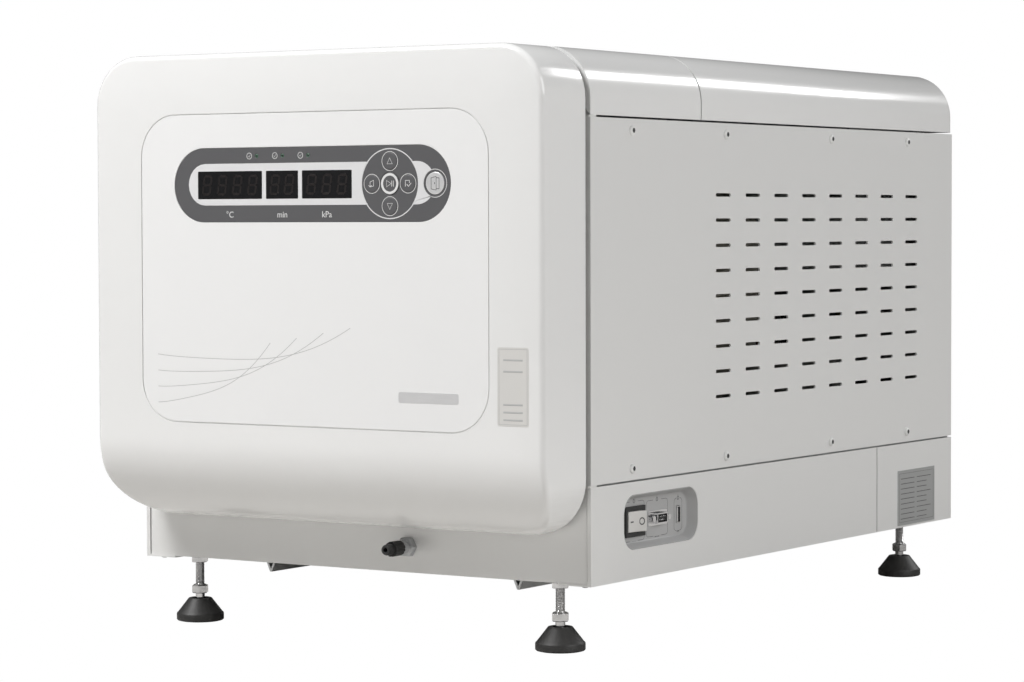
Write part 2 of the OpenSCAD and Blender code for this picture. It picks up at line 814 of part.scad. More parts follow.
module steam_generator() color(steel) {
    cap_t = 8;
    rod_z(gen_x, gen_y, gen_r, z_floor, z_gen - cap_t);
    rod_z(gen_x, gen_y, gen_r + 6, z_gen - cap_t, z_gen);
    rod_z(gen_x, gen_y, port_r, z_gen, z_gen + gen_port);
    rod_y(gen_x, z_gen_inlet, port_r - 2, gen_y - gen_r - 8, gen_y);
    for (a = [45 : 90 : 315]) rod_z(gen_x + (gen_r + 1) * cos(a), gen_y + (gen_r + 1) * sin(a), 3,
        z_gen, z_gen + 4);
}

module vacuum_pump() color(grey) {
    y = [y_front + 300, y_front + 400];
    head = [y[1], y_pump - 12];
    z = z_floor + 36;
    rod_y(0, z, 30, y[0], y[1]);
    box([-24, 24], y, [z_floor, z]);
    box([-32, 32], head, [z_floor, z_floor + 68]);
    box([-26, 26], [y[0] - 26, y[0]], [z_floor, z_floor + 60]);
    for (s = [-1, 1]) rod_y(s * pump_port_x, z_pump, 5, head[1], y_pump);
}

module condenser() color(steel) {
    y = [y_fan - 46, y_fan - 8];
    half = fan_size / 2;
    for (i = [0 : 11]) {
        x = -half + i * (2 * half - 2) / 11;
        box([x, x + 2], y, [fan_z - half, fan_z + half]);
    }
    for (z = [fan_z - half, fan_z + half - 3]) box([-half, half], y, [z, z + 3]);
    for (z = [-36 : 24 : 36]) rod_x(y_fan - 27, fan_z + z, 5, -half - 8, half + 8);
}

module fan_housing() color(black) {
    half = fan_size / 2;
    y1 = y_fan + fan_t;
    difference() {
        union() {
            difference() {
                box([-half, half], [y_fan, y1], [fan_z - half, fan_z + half]);
                rod_y(0, fan_z, fan_bore_r, y_fan - over, y1 + over);
            }
            for (a = [45 : 90 : 315]) translate([0, y_fan, fan_z]) rotate([0, a, 0])
                translate([0, 0, -2]) cube([fan_bore_r + 2, 3, 4]);
            rod_y(0, fan_z, fan_hub_r - 2, y_fan, y_fan + 5);
            rod_y(0, fan_z, fan_shaft_r, y_fan, y1 - 4);
        }
        for (x = [-1, 1], z = [-1, 1]) rod_y(x * (half - 7.5), fan_z + z * (half - 7.5), 2.2,
            y_fan - over, y1 + over);
    }
}

module fan_rotor() color(black) {
    y0 = y_fan + 6;
    y1 = y_fan + fan_t - 2;
    difference() {
        union() {
            rod_y(0, fan_z, fan_hub_r, y0, y1);
            for (a = [0 : 360 / 7 : 359]) translate([0, (y0 + y1) / 2, fan_z]) rotate([0, a, 0])
                translate([fan_hub_r - 3, 0, 0]) rotate([38, 0, 0])
                translate([0, -0.8, -12]) cube([fan_r - fan_hub_r + 1, 1.6, 24]);
        }
        rod_y(0, fan_z, fan_shaft_r + run_gap, y0 - over, y1 - 1.5);
    }
}

module tank(x, mouth) {
    y = [y_tank, y_tank_end];
    difference() {
        box(x, y, [z_tank, z_tank_top]);
        box([x[0] + tank_t, x[1] - tank_t], [y[0] + tank_t, y[1] - tank_t],
            [z_tank + tank_t, z_tank_top - tank_t]);
        box([x[0] + mouth, x[1] - mouth], [y[0] + mouth, y[1] - mouth],
            [z_tank_top - tank_t - over, z_tank_top + over]);
    }
}

module water_tanks() color([0.85, 0.88, 0.9]) {
    side = half_w - tank_side;
    tank([-side, -tank_gap / 2], 16);
    tank([tank_gap / 2, side], 50);
}

module valve_block() color([0.7, 0.6, 0.35]) {
    x0 = 90;
    y = [y_valves - 46, y_valves - 10];
    z = z_floor + 24;
    box([x0, x0 + 100], y, [z_floor, z]);
    for (i = [0 : 3]) rod_z(x0 + 14 + i * 24, (y[0] + y[1]) / 2, 10, z, z + 38);
    rod_y(valve_in_x, z_valves, 5, y[1], y_valves);
}

module main_board() color([0.1, 0.4, 0.2]) {
    x = -half_frame + sheet_t + 8;
    y = [y_front + 120, y_front + 320];
    z = [z_seam + 70, z_seam + 200];
    box([x, x + 1.6], y, z);
    box([x + 1.6, x + 20], [y[0] + 20, y[0] + 60], [z[0] + 20, z[0] + 60]);
    box([x + 1.6, x + 14], [y[0] + 80, y[0] + 180], [z[0] + 12, z[0] + 24]);
    box([x + 1.6, x + 6], [y[0] + 90, y[0] + 120], [z[0] + 60, z[0] + 90]);
    for (i = [0 : 3]) rod_x(y[0] + 28 + i * 16, z[0] + 100, 6, x + 1.6, x + 18);
    for (yy = y, zz = z) rod_x(yy + (yy == y[0] ? 6 : -6), zz + (zz == z[0] ? 6 : -6), 3,
        -half_frame + sheet_t, x);
}

module power_supply() color(grey) {
    x = [-190, -84];
    y = [y_front + 70, y_front + 210];
    box(x, y, [z_floor, z_floor + 6]);
    box([x[0] + 8, x[1] - 8], [y[0] + 10, y[1] - 10], [z_floor + 6, z_floor + 68]);
    box([x[0] + 24, x[1] - 24], [y[0] + 2, y[1] - 2], [z_floor + 14, z_floor + 60]);
}

module pipework() color([0.8, 0.5, 0.3]) {
    bend = 16;
    z_steam = z_gen + gen_port + 12;
    y_back_run = y_ports + 6;
    // Clean tank to pump
    pipe([[-60, y_tank + 30, z_tank], [-60, y_tank + 30, z_pump], [-60, y_pump + 30, z_pump],
        [-pump_port_x, y_pump + 30, z_pump], [-pump_port_x, y_pump, z_pump]], pipe_r);
    // Pump to steam generator
    pipe([[pump_port_x, y_pump, z_pump], [pump_port_x, y_pump + bend, z_pump],
        [pump_port_x, y_pump + bend, z_floor + 20], [gen_x, y_pump + bend, z_floor + 20],
        [gen_x, y_pump + bend, z_gen_inlet], [gen_x, gen_y - gen_r - 8, z_gen_inlet]], pipe_r);
    // Steam generator to chamber
    pipe([[gen_x, gen_y, z_gen + gen_port], [gen_x, gen_y, z_steam], [gen_x, y_back_run, z_steam],
        [gen_x, y_back_run, port_z[0]], [0, y_back_run, port_z[0]], [0, y_ports, port_z[0]]], pipe_r);
    // Chamber to valve block
    pipe([[0, y_ports, port_z[1]], [0, y_back_run, port_z[1]], [valve_in_x, y_back_run, port_z[1]],
        [valve_in_x, y_back_run, z_valves], [valve_in_x, y_valves, z_valves]], pipe_r);
}

// ---- Hinges and lock ----

module hinge_arms() color(steel) for (z = hinge_z) {
    translate([0, 0, z - arm_h / 2]) linear_extrude(height = arm_h) {
        translate([pin_x, pin_y]) circle(r = arm_t);
        translate([pin_x, pin_y - arm_t / 2]) square([arm_reach, arm_t]);
        translate([pin_x + arm_reach - arm_t, pin_y - arm_t / 2])
            square([arm_t, y_plate_back - pin_y + arm_t / 2 + over]);
    }
    box([pin_x + arm_reach - 22, pin_x + arm_reach + 14], [y_plate_back, y_plate_back + 4], [z - 20, z + 20]);
    rod_z(pin_x, pin_y, pin_r, z - arm_h / 2 - lug_gap - lug_t, z + arm_h / 2 + lug_gap + lug_t);
}

module lock_housing() color(steel) {
    y = [y_plate_back, y_plate_back + 30];
    x = [strike_x - 14, strike_x + 14];
    difference() {
        union() {
            box(x, y, [z_mid + 6, z_mid + 74]);
            box(x, y, [z_mid - 16, z_mid - 9]);
            box([x[1] - over, x[1] + 4], y, [z_mid - 16, z_mid + 74]);
        }
        rod_z(strike_x, strike_y, bolt_r + run_gap, z_mid - 20, z_mid + 62);
    }
}

module lock_bolt() color(steel) {
    z0 = z_mid + strike_t / 2 + bolt_clear;
    rod_z(strike_x, strike_y, bolt_r, z0, z0 + bolt_len);
}

// ---- Things on the back ----

module power_inlet() color(black) {
    y = y_rear;
    difference() {
        union() {
            box([inlet_x - 25, inlet_x + 25], [y, y + 3], [inlet_z - 16, inlet_z + 26]);
            box([inlet_x - 20, inlet_x + 20], [y - 24, y], [inlet_z - 12, inlet_z + 22]);
        }
        box([inlet_x - 12, inlet_x + 12], [y - 17, y + 4], [inlet_z - 8, inlet_z + 8]);
        box([inlet_x - 17, inlet_x + 17], [y + 1.5, y + 4], [inlet_z + 12, inlet_z + 22]);
    }
    for (s = [[-7, -1], [0, 2], [7, -1]]) box([inlet_x + s[0] - 1, inlet_x + s[0] + 1], [y - 18, y - 4],
        [inlet_z + s[1] - 2, inlet_z + s[1] + 2]);
}

module hose_barb(x, z) difference() {
    union() {
        rod_y(x, z, barb_r, y_rear - 10, y_rear + 6);
        hex_y(x, z, 17, y_rear, y_rear + 6);
        rod_y(x, z, barb_r, y_rear + 6, y_rear + rear_reach);
    }
    rod_y(x, z, 3, y_rear - 12, y_rear + rear_reach + over);
}

module rear_fittings() color([0.75, 0.65, 0.4]) {
    for (x = barb_x) hose_barb(x, barb_z);
    // Safety valve
    rod_y(valve_x, valve_z, 6, y_rear - 6, y_rear);
    hex_y(valve_x, valve_z, 19, y_rear, y_rear + 8);
    rod_y(valve_x, valve_z, 8, y_rear + 8, y_rear + 20);
    // Air filter
    rod_y(filter_x, filter_z, 6, y_rear - 6, y_rear + 4);
    rod_y(filter_x, filter_z, 21, y_rear + 4, y_rear + 20);
}

// ---- Door ----

// drop lets the corner arcs run below the flat bottom, which the profile then cuts level
module door_outline(inset, drop = 0) {
    w = door_w - 2 * inset;
    z0 = z_door + inset - drop;
    z1 = z_top - inset;
    rt = door_top_r - inset;
    rb = door_low_r - inset;
    translate([-w / 2, z0 + rb]) square([w, z1 - rt - z0 - rb]);
    translate([-w / 2 + rb, z0]) square([w - 2 * rb, rb + over]);
    translate([-w / 2 + rt, z1 - rt - over]) square([w - 2 * rt, rt + over]);
    for (s = [-1, 1]) {
        translate([s * (w / 2 - rb), z0 + rb]) circle(r = rb);
        translate([s * (w / 2 - rt), z1 - rt]) circle(r = rt);
    }
}

module door_profile(front, inset, y1) intersection() {
    translate([y_door + front, z_door]) square([y1 - y_door - front, z_top - z_door]);
    union() {
        translate([y_door, z_chin]) square([door_t + 2, z_top]);
        translate([y_door + chin_r, z_chin]) circle(r = chin_r - inset, $fn = 128);
        translate([y_door + chin_r, z_door]) square([door_t, z_top]);
    }
}

module door_shell() color(white) difference() {
    intersection() {
        along_y(y_door, y_back) door_outline(0, door_drop);
        along_x(-half_w, half_w) door_profile(0, 0, y_back);
    }
    intersection() {
        along_y(y_door + face_t, y_back + over) door_outline(door_wall);
        along_x(-half_w, half_w) door_profile(face_t, face_t, y_back + over);
    }
    translate([0, 0, z_top - inlay_drop - inlay_h / 2]) along_y(y_door - over, y_door + inlay_set)
        rounded(inlay_w, inlay_h, inlay_r);
    translate([0, 0, z_keys]) {
        along_y(y_door - over, y_door + bezel_set + bezel_t)
            rounded(keypad_w + 2 * fit_gap, keypad_h + 2 * fit_gap, keypad_h / 2 + fit_gap - 0.01);
        along_y(y_door, y_door + face_t + over) rounded(keypad_w - 6, keypad_h - 6, keypad_h / 2 - 3.01);
    }
}

module door_back_plate() color(steel) {
    y = [y_back - plate_t, y_back];
    x0 = pin_x - 9;
    beam_y = y_back - plate_deep - beam_gap - beam_t;
    half_beam = flange_r + 14;
    difference() {
        union() {
            along_y(y[0], y[1]) door_outline(door_wall + fit_gap);
            for (z = hinge_z, s = [-1, 1]) {
                z0 = z + s * (arm_h / 2 + lug_gap + lug_t / 2) - lug_t / 2;
                translate([pin_x, pin_y, z0]) cylinder(r = 9, h = lug_t);
                box([x0, pin_x + 9], [pin_y, y[1]], [z0, z0 + lug_t]);
            }
            box([-half_beam, half_beam], [beam_y, beam_y + beam_t], [z_mid - beam_h / 2, z_mid + beam_h / 2]);
            for (s = [0, 1]) mirror([s, 0, 0]) box([half_beam - 8, half_beam], [beam_y, y[1]],
                [z_mid - beam_h / 2, z_mid + beam_h / 2]);
        }
        rod_y(0, z_mid, flange_r + 1, y[0] - over, y[1] + over);
        for (z = hinge_z) {
            box([-door_w, pin_x + arm_reach + 3], [y[0] - over, y[1] + over],
                [z - arm_h / 2 - 2, z + arm_h / 2 + 2]);
            rod_z(pin_x, pin_y, pin_r + run_gap, z - arm_h, z + arm_h);
        }
        rod_y(0, z_mid, beam_stud_r + fit_gap, beam_y - over, beam_y + beam_t + over);
    }
}

module door_strike() color(steel) {
    x = [strike_x - strike_w / 2, strike_x + strike_w / 2];
    y = [y_back, strike_y + 10];
    window = strike_window / 2;
    difference() {
        union() {
            box(x, y, [z_mid - strike_t / 2, z_mid + strike_t / 2]);
            box(x, [y[0], y[0] + strike_foot_t], [z_mid - strike_foot_h / 2, z_mid + strike_foot_h / 2]);
        }
        box([strike_x - window, strike_x + window], [strike_y - window, strike_y + window],
            [z_mid - strike_t, z_mid + strike_t]);
    }
}

module pressure_plate() color(steel) {
    y1 = y_back + plate_proud;
    stud_y = y_back - plate_deep - beam_gap - beam_t - 8;
    difference() {
        rod_y(0, z_mid, plate_r, y_back - plate_deep, y1, $fn = 96);
        sleeve(seal_in, seal_in + seal_w, y1 - seal_deep, y1 + over);
    }
    rod_y(0, z_mid, beam_stud_r, stud_y, y_back - plate_deep + over);
    hex_y(0, z_mid, 24, stud_y, stud_y + 8 - fit_gap);
}

module door_seal() color([0.8, 0.45, 0.35])
    sleeve(seal_in, seal_in + seal_w, y_back + plate_proud - seal_deep, y_front - fit_gap);

// ---- Keypad and display ----

module keypad_bezel() color(grey) translate([0, 0, z_keys]) difference() {
    y = [y_door + bezel_set, y_door + bezel_set + bezel_t];
    along_y(y[0], y[1]) rounded(keypad_w, keypad_h, keypad_h / 2 - 0.01);
    for (key = key_list) rod_y(key[1], key[2], key[3] + fit_gap, y[0] - over, y[1] + over);
    for (w = window_list) box([w[0], w[1]], [y[0] - over, y[1] + over], [-window_h / 2, window_h / 2]);
    for (x = led_list) rod_y(x, led_up, led_r + fit_gap, y[0] - over, y[1] + over);
}

module display_board() color([0.1, 0.35, 0.2]) translate([0, 0, z_keys]) {
    y = y_door + board_deep;
    box([-124, 134], [y, y + board_t], [-26, 27]);
    for (w = window_list) box([w[0] + fit_gap, w[1] - fit_gap], [y_door + bezel_set + 0.8, y],
        [-window_h / 2 + fit_gap, window_h / 2 - fit_gap]);
    for (x = led_list) rod_y(x, led_up, led_r, y_door + bezel_set + 0.2, y);
    for (key = key_list) rod_y(key[1], key[2], 3, y - switch_top, y);
    box([-60, 40], [y + board_t, y + board_t + 8], [-20, 20]);
}

module key_cap(i) {
    key = key_list[i];
    y_switch = y_door + board_deep - switch_top;
    translate([0, 0, z_keys]) {
        rod_y(key[1], key[2], key[3], y_door, y_door + key_t);
        rod_y(key[1], key[2], stem_r, y_door + key_t, y_switch - key_travel - 0.2);
    }
}

module key_up() color(grey) key_cap(0);

module key_down() color(grey) key_cap(1);

module key_left() color(grey) key_cap(2);

module key_right() color(grey) key_cap(3);

module key_start() color(grey) key_cap(4);

module key_door() color(steel) key_cap(5);

// ---- Feet ----

module stud(i) color(steel) translate([foot_list[i][1], foot_list[i][2], 0]) {
    translate([0, 0, ball_z]) sphere(r = ball_r);
    translate([0, 0, ball_z]) cylinder(r = stud_d / 2, h = stud_top - ball_z);
    translate([0, 0, neck_hex_z]) cylinder(d = nut_across / cos(30), h = neck_hex_h, $fn = 6);
}

module pad(i) color(black) translate([foot_list[i][1], foot_list[i][2], 0]) difference() {
    union() {
        cylinder(d = pad_d, h = pad_band);
        translate([0, 0, pad_band]) cylinder(d1 = pad_d, d2 = pad_neck_d, h = pad_h - pad_band);
    }
    translate([0, 0, ball_z]) sphere(r = ball_r + run_gap);
    // Room for the stud to lean
    translate([0, 0, ball_z + 1.5]) cylinder(r1 = stud_d / 2 + 0.6, r2 = stud_d / 2 + 2.8,
        h = pad_h - ball_z);
}

module stud_front_left() stud(0);

module stud_front_right() stud(1);

module stud_rear_left() stud(2);

module stud_rear_right() stud(3);

module pad_front_left() pad(0);

module pad_front_right() pad(1);

module pad_rear_left() pad(2);

module pad_rear_right() pad(3);

// ---- Draw ----

base_tray();
base_front_panel();
base_side_left();
base_side_right();
base_rear_cover();
base_rails();
side_panel_left();
side_panel_right();
rear_panel();
inner_frame();
top_cover_front();
fasteners();
connector_recess();
data_ports();
rocker_bezel();
rating_plate();
drain_valve();
chamber();
insulation();
tray_rack();
steam_generator();
vacuum_pump();
condenser();
fan_housing();
water_tanks();
valve_block();
main_board();
power_supply();
pipework();
hinge_arms();
lock_housing();
power_inlet();
rear_fittings();
lid_hinges();
top_lid();
lock_bolt();
fan_rotor();
rocker();
drain_knob();
door_shell();
door_back_plate();
door_strike();
pressure_plate();
door_seal();
keypad_bezel();
display_board();
key_up();
key_down();
key_left();
key_right();
key_start();
key_door();
stud_front_left();
stud_front_right();
stud_rear_left();
stud_rear_right();
pad_front_left();
pad_front_right();
pad_rear_left();
pad_rear_right();
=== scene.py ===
import json
import math

import bmesh
import bpy
from mathutils import Matrix, Vector


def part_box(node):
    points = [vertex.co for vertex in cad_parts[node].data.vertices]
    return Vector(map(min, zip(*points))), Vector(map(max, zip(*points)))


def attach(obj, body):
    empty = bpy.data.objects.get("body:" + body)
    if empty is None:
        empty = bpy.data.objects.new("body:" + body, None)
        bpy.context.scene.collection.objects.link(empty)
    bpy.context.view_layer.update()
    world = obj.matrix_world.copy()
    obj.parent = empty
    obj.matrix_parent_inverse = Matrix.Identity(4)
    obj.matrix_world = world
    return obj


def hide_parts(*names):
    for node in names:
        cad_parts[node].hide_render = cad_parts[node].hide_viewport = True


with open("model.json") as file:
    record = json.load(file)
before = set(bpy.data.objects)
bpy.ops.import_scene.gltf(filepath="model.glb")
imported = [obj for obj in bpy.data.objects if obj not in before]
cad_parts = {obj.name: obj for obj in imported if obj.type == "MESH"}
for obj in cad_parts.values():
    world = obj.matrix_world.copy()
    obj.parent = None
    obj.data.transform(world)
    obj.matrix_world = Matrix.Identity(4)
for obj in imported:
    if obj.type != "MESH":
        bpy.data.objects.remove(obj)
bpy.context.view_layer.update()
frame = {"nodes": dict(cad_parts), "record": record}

nodes = frame["nodes"]
scene = bpy.context.scene
mm = 0.001  # shapes are drawn in millimetres and brought to metres as each piece is finished


def boxOf(node):
    low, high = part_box(node)
    return low / mm, high / mm


doorLow, doorHigh = boxOf("door_shell")
panelLow, panelHigh = boxOf("side_panel_right")
baseLow = boxOf("base_side_right")[0]
coverLow, coverHigh = boxOf("top_cover_front")
lidLow, lidHigh = boxOf("top_lid")
keypadLow, keypadHigh = boxOf("keypad_bezel")
keypadZ = (keypadLow.z + keypadHigh.z) / 2
faceY = doorLow.y
halfWidth = panelHigh.x
rearY = panelHigh.y
print("frame loaded:", len(nodes), "nodes")

# Finishes


def newGroup(name, inputs, outputs):
    group = bpy.data.node_groups.new(name, "ShaderNodeTree")
    for label, kind, value in inputs:
        socket = group.interface.new_socket(name=label, in_out="INPUT", socket_type=kind)
        if value is not None:
            socket.default_value = value
    for label, kind in outputs:
        group.interface.new_socket(name=label, in_out="OUTPUT", socket_type=kind)
    return group, group.nodes.new("NodeGroupInput"), group.nodes.new("NodeGroupOutput")


def wire(tree, source, target):
    tree.links.new(source, target)


def noiseNode(tree, vector, scale, detail=2.0, roughness=0.5):
    node = tree.nodes.new("ShaderNodeTexNoise")
    node.inputs["Detail"].default_value = detail
    node.inputs["Roughness"].default_value = roughness
    wire(tree, vector, node.inputs["Vector"])
    if isinstance(scale, (int, float)):
        node.inputs["Scale"].default_value = scale
    else:
        wire(tree, scale, node.inputs["Scale"])
    return node


def mathNode(tree, operation, first, second=None, clamp=False):
    node = tree.nodes.new("ShaderNodeMath")
    node.operation = operation
    node.use_clamp = clamp
    for socket, value in zip(node.inputs, (first, second)):
        if value is None:
            continue
        if isinstance(value, (int, float)):
            socket.default_value = value
        else:
            wire(tree, value, socket)
    return node.outputs[0]


def rangeNode(tree, value, low, high, outLow=0.0, outHigh=1.0):
    node = tree.nodes.new("ShaderNodeMapRange")
    wire(tree, value, node.inputs["Value"])
    for label, number in (("From Min", low), ("From Max", high), ("To Min", outLow), ("To Max", outHigh)):
        if isinstance(number, (int, float)):
            node.inputs[label].default_value = number
        else:
            wire(tree, number, node.inputs[label])
    return node.outputs["Result"]


surfaceInputs = [("Vector", "NodeSocketVector", None), ("Scale", "NodeSocketFloat", 100.0)]
surfaceOutputs = [("Mask", "NodeSocketFloat"), ("Height", "NodeSocketFloat")]


def surfaceGroup(name, draw):
    group, start, end = newGroup(name, surfaceInputs, surfaceOutputs)
    mask, height = draw(group, start.outputs["Vector"], start.outputs["Scale"])
    wire(group, mask, end.inputs["Mask"])
    wire(group, height, end.inputs["Height"])
    return group


def orangePeel(tree, vector, scale):
    # Powder coat and moulded skin: soft orange peel with a slow drift of tone
    fine = noiseNode(tree, vector, scale, 3.0, 0.55)
    slow = noiseNode(tree, vector, 7.0, 2.0)
    return rangeNode(tree, slow.outputs["Fac"], 0.15, 0.85), fine.outputs["Fac"]


def brushedStreaks(tree, vector, scale):
    # Rolled or brushed sheet: long streaks in the direction that the material's mapping stretches
    streak = noiseNode(tree, vector, scale, 6.0, 0.65)
    cloud = noiseNode(tree, vector, 3.0, 2.0)
    both = mathNode(tree, "MULTIPLY", streak.outputs["Fac"], cloud.outputs["Fac"])
    return rangeNode(tree, both, 0.14, 0.4), streak.outputs["Fac"]


def zincSpangle(tree, vector, scale):
    # Zinc: grains of slightly different grey
    grain = tree.nodes.new("ShaderNodeTexVoronoi")
    wire(tree, vector, grain.inputs["Vector"])
    wire(tree, scale, grain.inputs["Scale"])
    split = tree.nodes.new("ShaderNodeSeparateColor")
    wire(tree, grain.outputs["Color"], split.inputs["Color"])
    return split.outputs["Red"], grain.outputs["Distance"]


def feltedFibre(tree, vector, scale):
    # Needled wool: matted short fibres
    mat = noiseNode(tree, vector, scale, 8.0, 0.7)
    mat.inputs["Distortion"].default_value = 2.5
    tufts = noiseNode(tree, vector, 60.0, 3.0)
    both = mathNode(tree, "ADD", mat.outputs["Fac"], tufts.outputs["Fac"])
    return rangeNode(tree, both, 0.75, 1.25), both


def boardTracks(tree, vector, scale):
    # Circuit board: lighter runs of track under the lacquer
    tracks = tree.nodes.new("ShaderNodeTexBrick")
    tracks.inputs["Mortar Size"].default_value = 0.16
    tracks.inputs["Brick Width"].default_value = 2.4
    tracks.inputs["Row Height"].default_value = 0.7
    wire(tree, vector, tracks.inputs["Vector"])
    wire(tree, scale, tracks.inputs["Scale"])
    return tracks.outputs["Fac"], tracks.outputs["Fac"]


def turnedRings(tree, vector, scale):
    # Turned metal: fine tool rings along the mapped X axis
    rings = tree.nodes.new("ShaderNodeTexWave")
    rings.bands_direction = "X"
    rings.inputs["Distortion"].default_value = 0.6
    rings.inputs["Detail"].default_value = 2.0
    wire(tree, vector, rings.inputs["Vector"])
    wire(tree, scale, rings.inputs["Scale"])
    smear = noiseNode(tree, vector, 90.0, 3.0)
    return rangeNode(tree, smear.outputs["Fac"], 0.3, 0.7), rings.outputs["Fac"]


def edgeGroup():
    # Softened corners, and a broken mask along them: partly where a finish rubs thin, partly a painted edge
    # highlight, as the edge tone is lighter on most finishes
    inputs = [("Vector", "NodeSocketVector", None), ("Radius", "NodeSocketFloat", 0.0005),
        ("Gain", "NodeSocketFloat", 2.0)]
    outputs = [("Mask", "NodeSocketFloat"), ("Normal", "NodeSocketVector")]
    group, start, end = newGroup("rubbedEdges", inputs, outputs)
    soft = group.nodes.new("ShaderNodeBevel")
    soft.samples = 4
    wire(group, start.outputs["Radius"], soft.inputs["Radius"])
    flat = group.nodes.new("ShaderNodeNewGeometry")
    turn = group.nodes.new("ShaderNodeVectorMath")
    turn.operation = "DOT_PRODUCT"
    wire(group, soft.outputs["Normal"], turn.inputs[0])
    wire(group, flat.outputs["Normal"], turn.inputs[1])
    bend = mathNode(group, "SUBTRACT", 1.0, turn.outputs["Value"], clamp=True)
    rub = mathNode(group, "MULTIPLY", bend, start.outputs["Gain"], clamp=True)
    patch = noiseNode(group, start.outputs["Vector"], 220.0, 4.0)
    broken = rangeNode(group, patch.outputs["Fac"], 0.42, 0.62)
    wire(group, mathNode(group, "MULTIPLY", rub, broken, clamp=True), end.inputs["Mask"])
    wire(group, soft.outputs["Normal"], end.inputs["Normal"])
    return group


surfaces = {
    "peel": orangePeel, "brushed": brushedStreaks, "spangle": zincSpangle,
    "felt": feltedFibre, "tracks": boardTracks, "turned": turnedRings,
}
surfaceGroups = {key: surfaceGroup(draw.__name__, draw) for key, draw in surfaces.items()}
rubbedEdges = edgeGroup()


def look(tone, drift, rub, rough, scale, depth, radius, **more):
    # Tones are linear and a lone number is a grey; depth and radius are in millimetres
    shades = {"tone": tone, "drift": drift, "rub": rub}
    shades = {key: shade if isinstance(shade, tuple) else (shade,) * 3 for key, shade in shades.items()}
    return {**shades, "rough": rough, "scale": scale, "depth": depth * mm, "radius": radius * mm, **more}
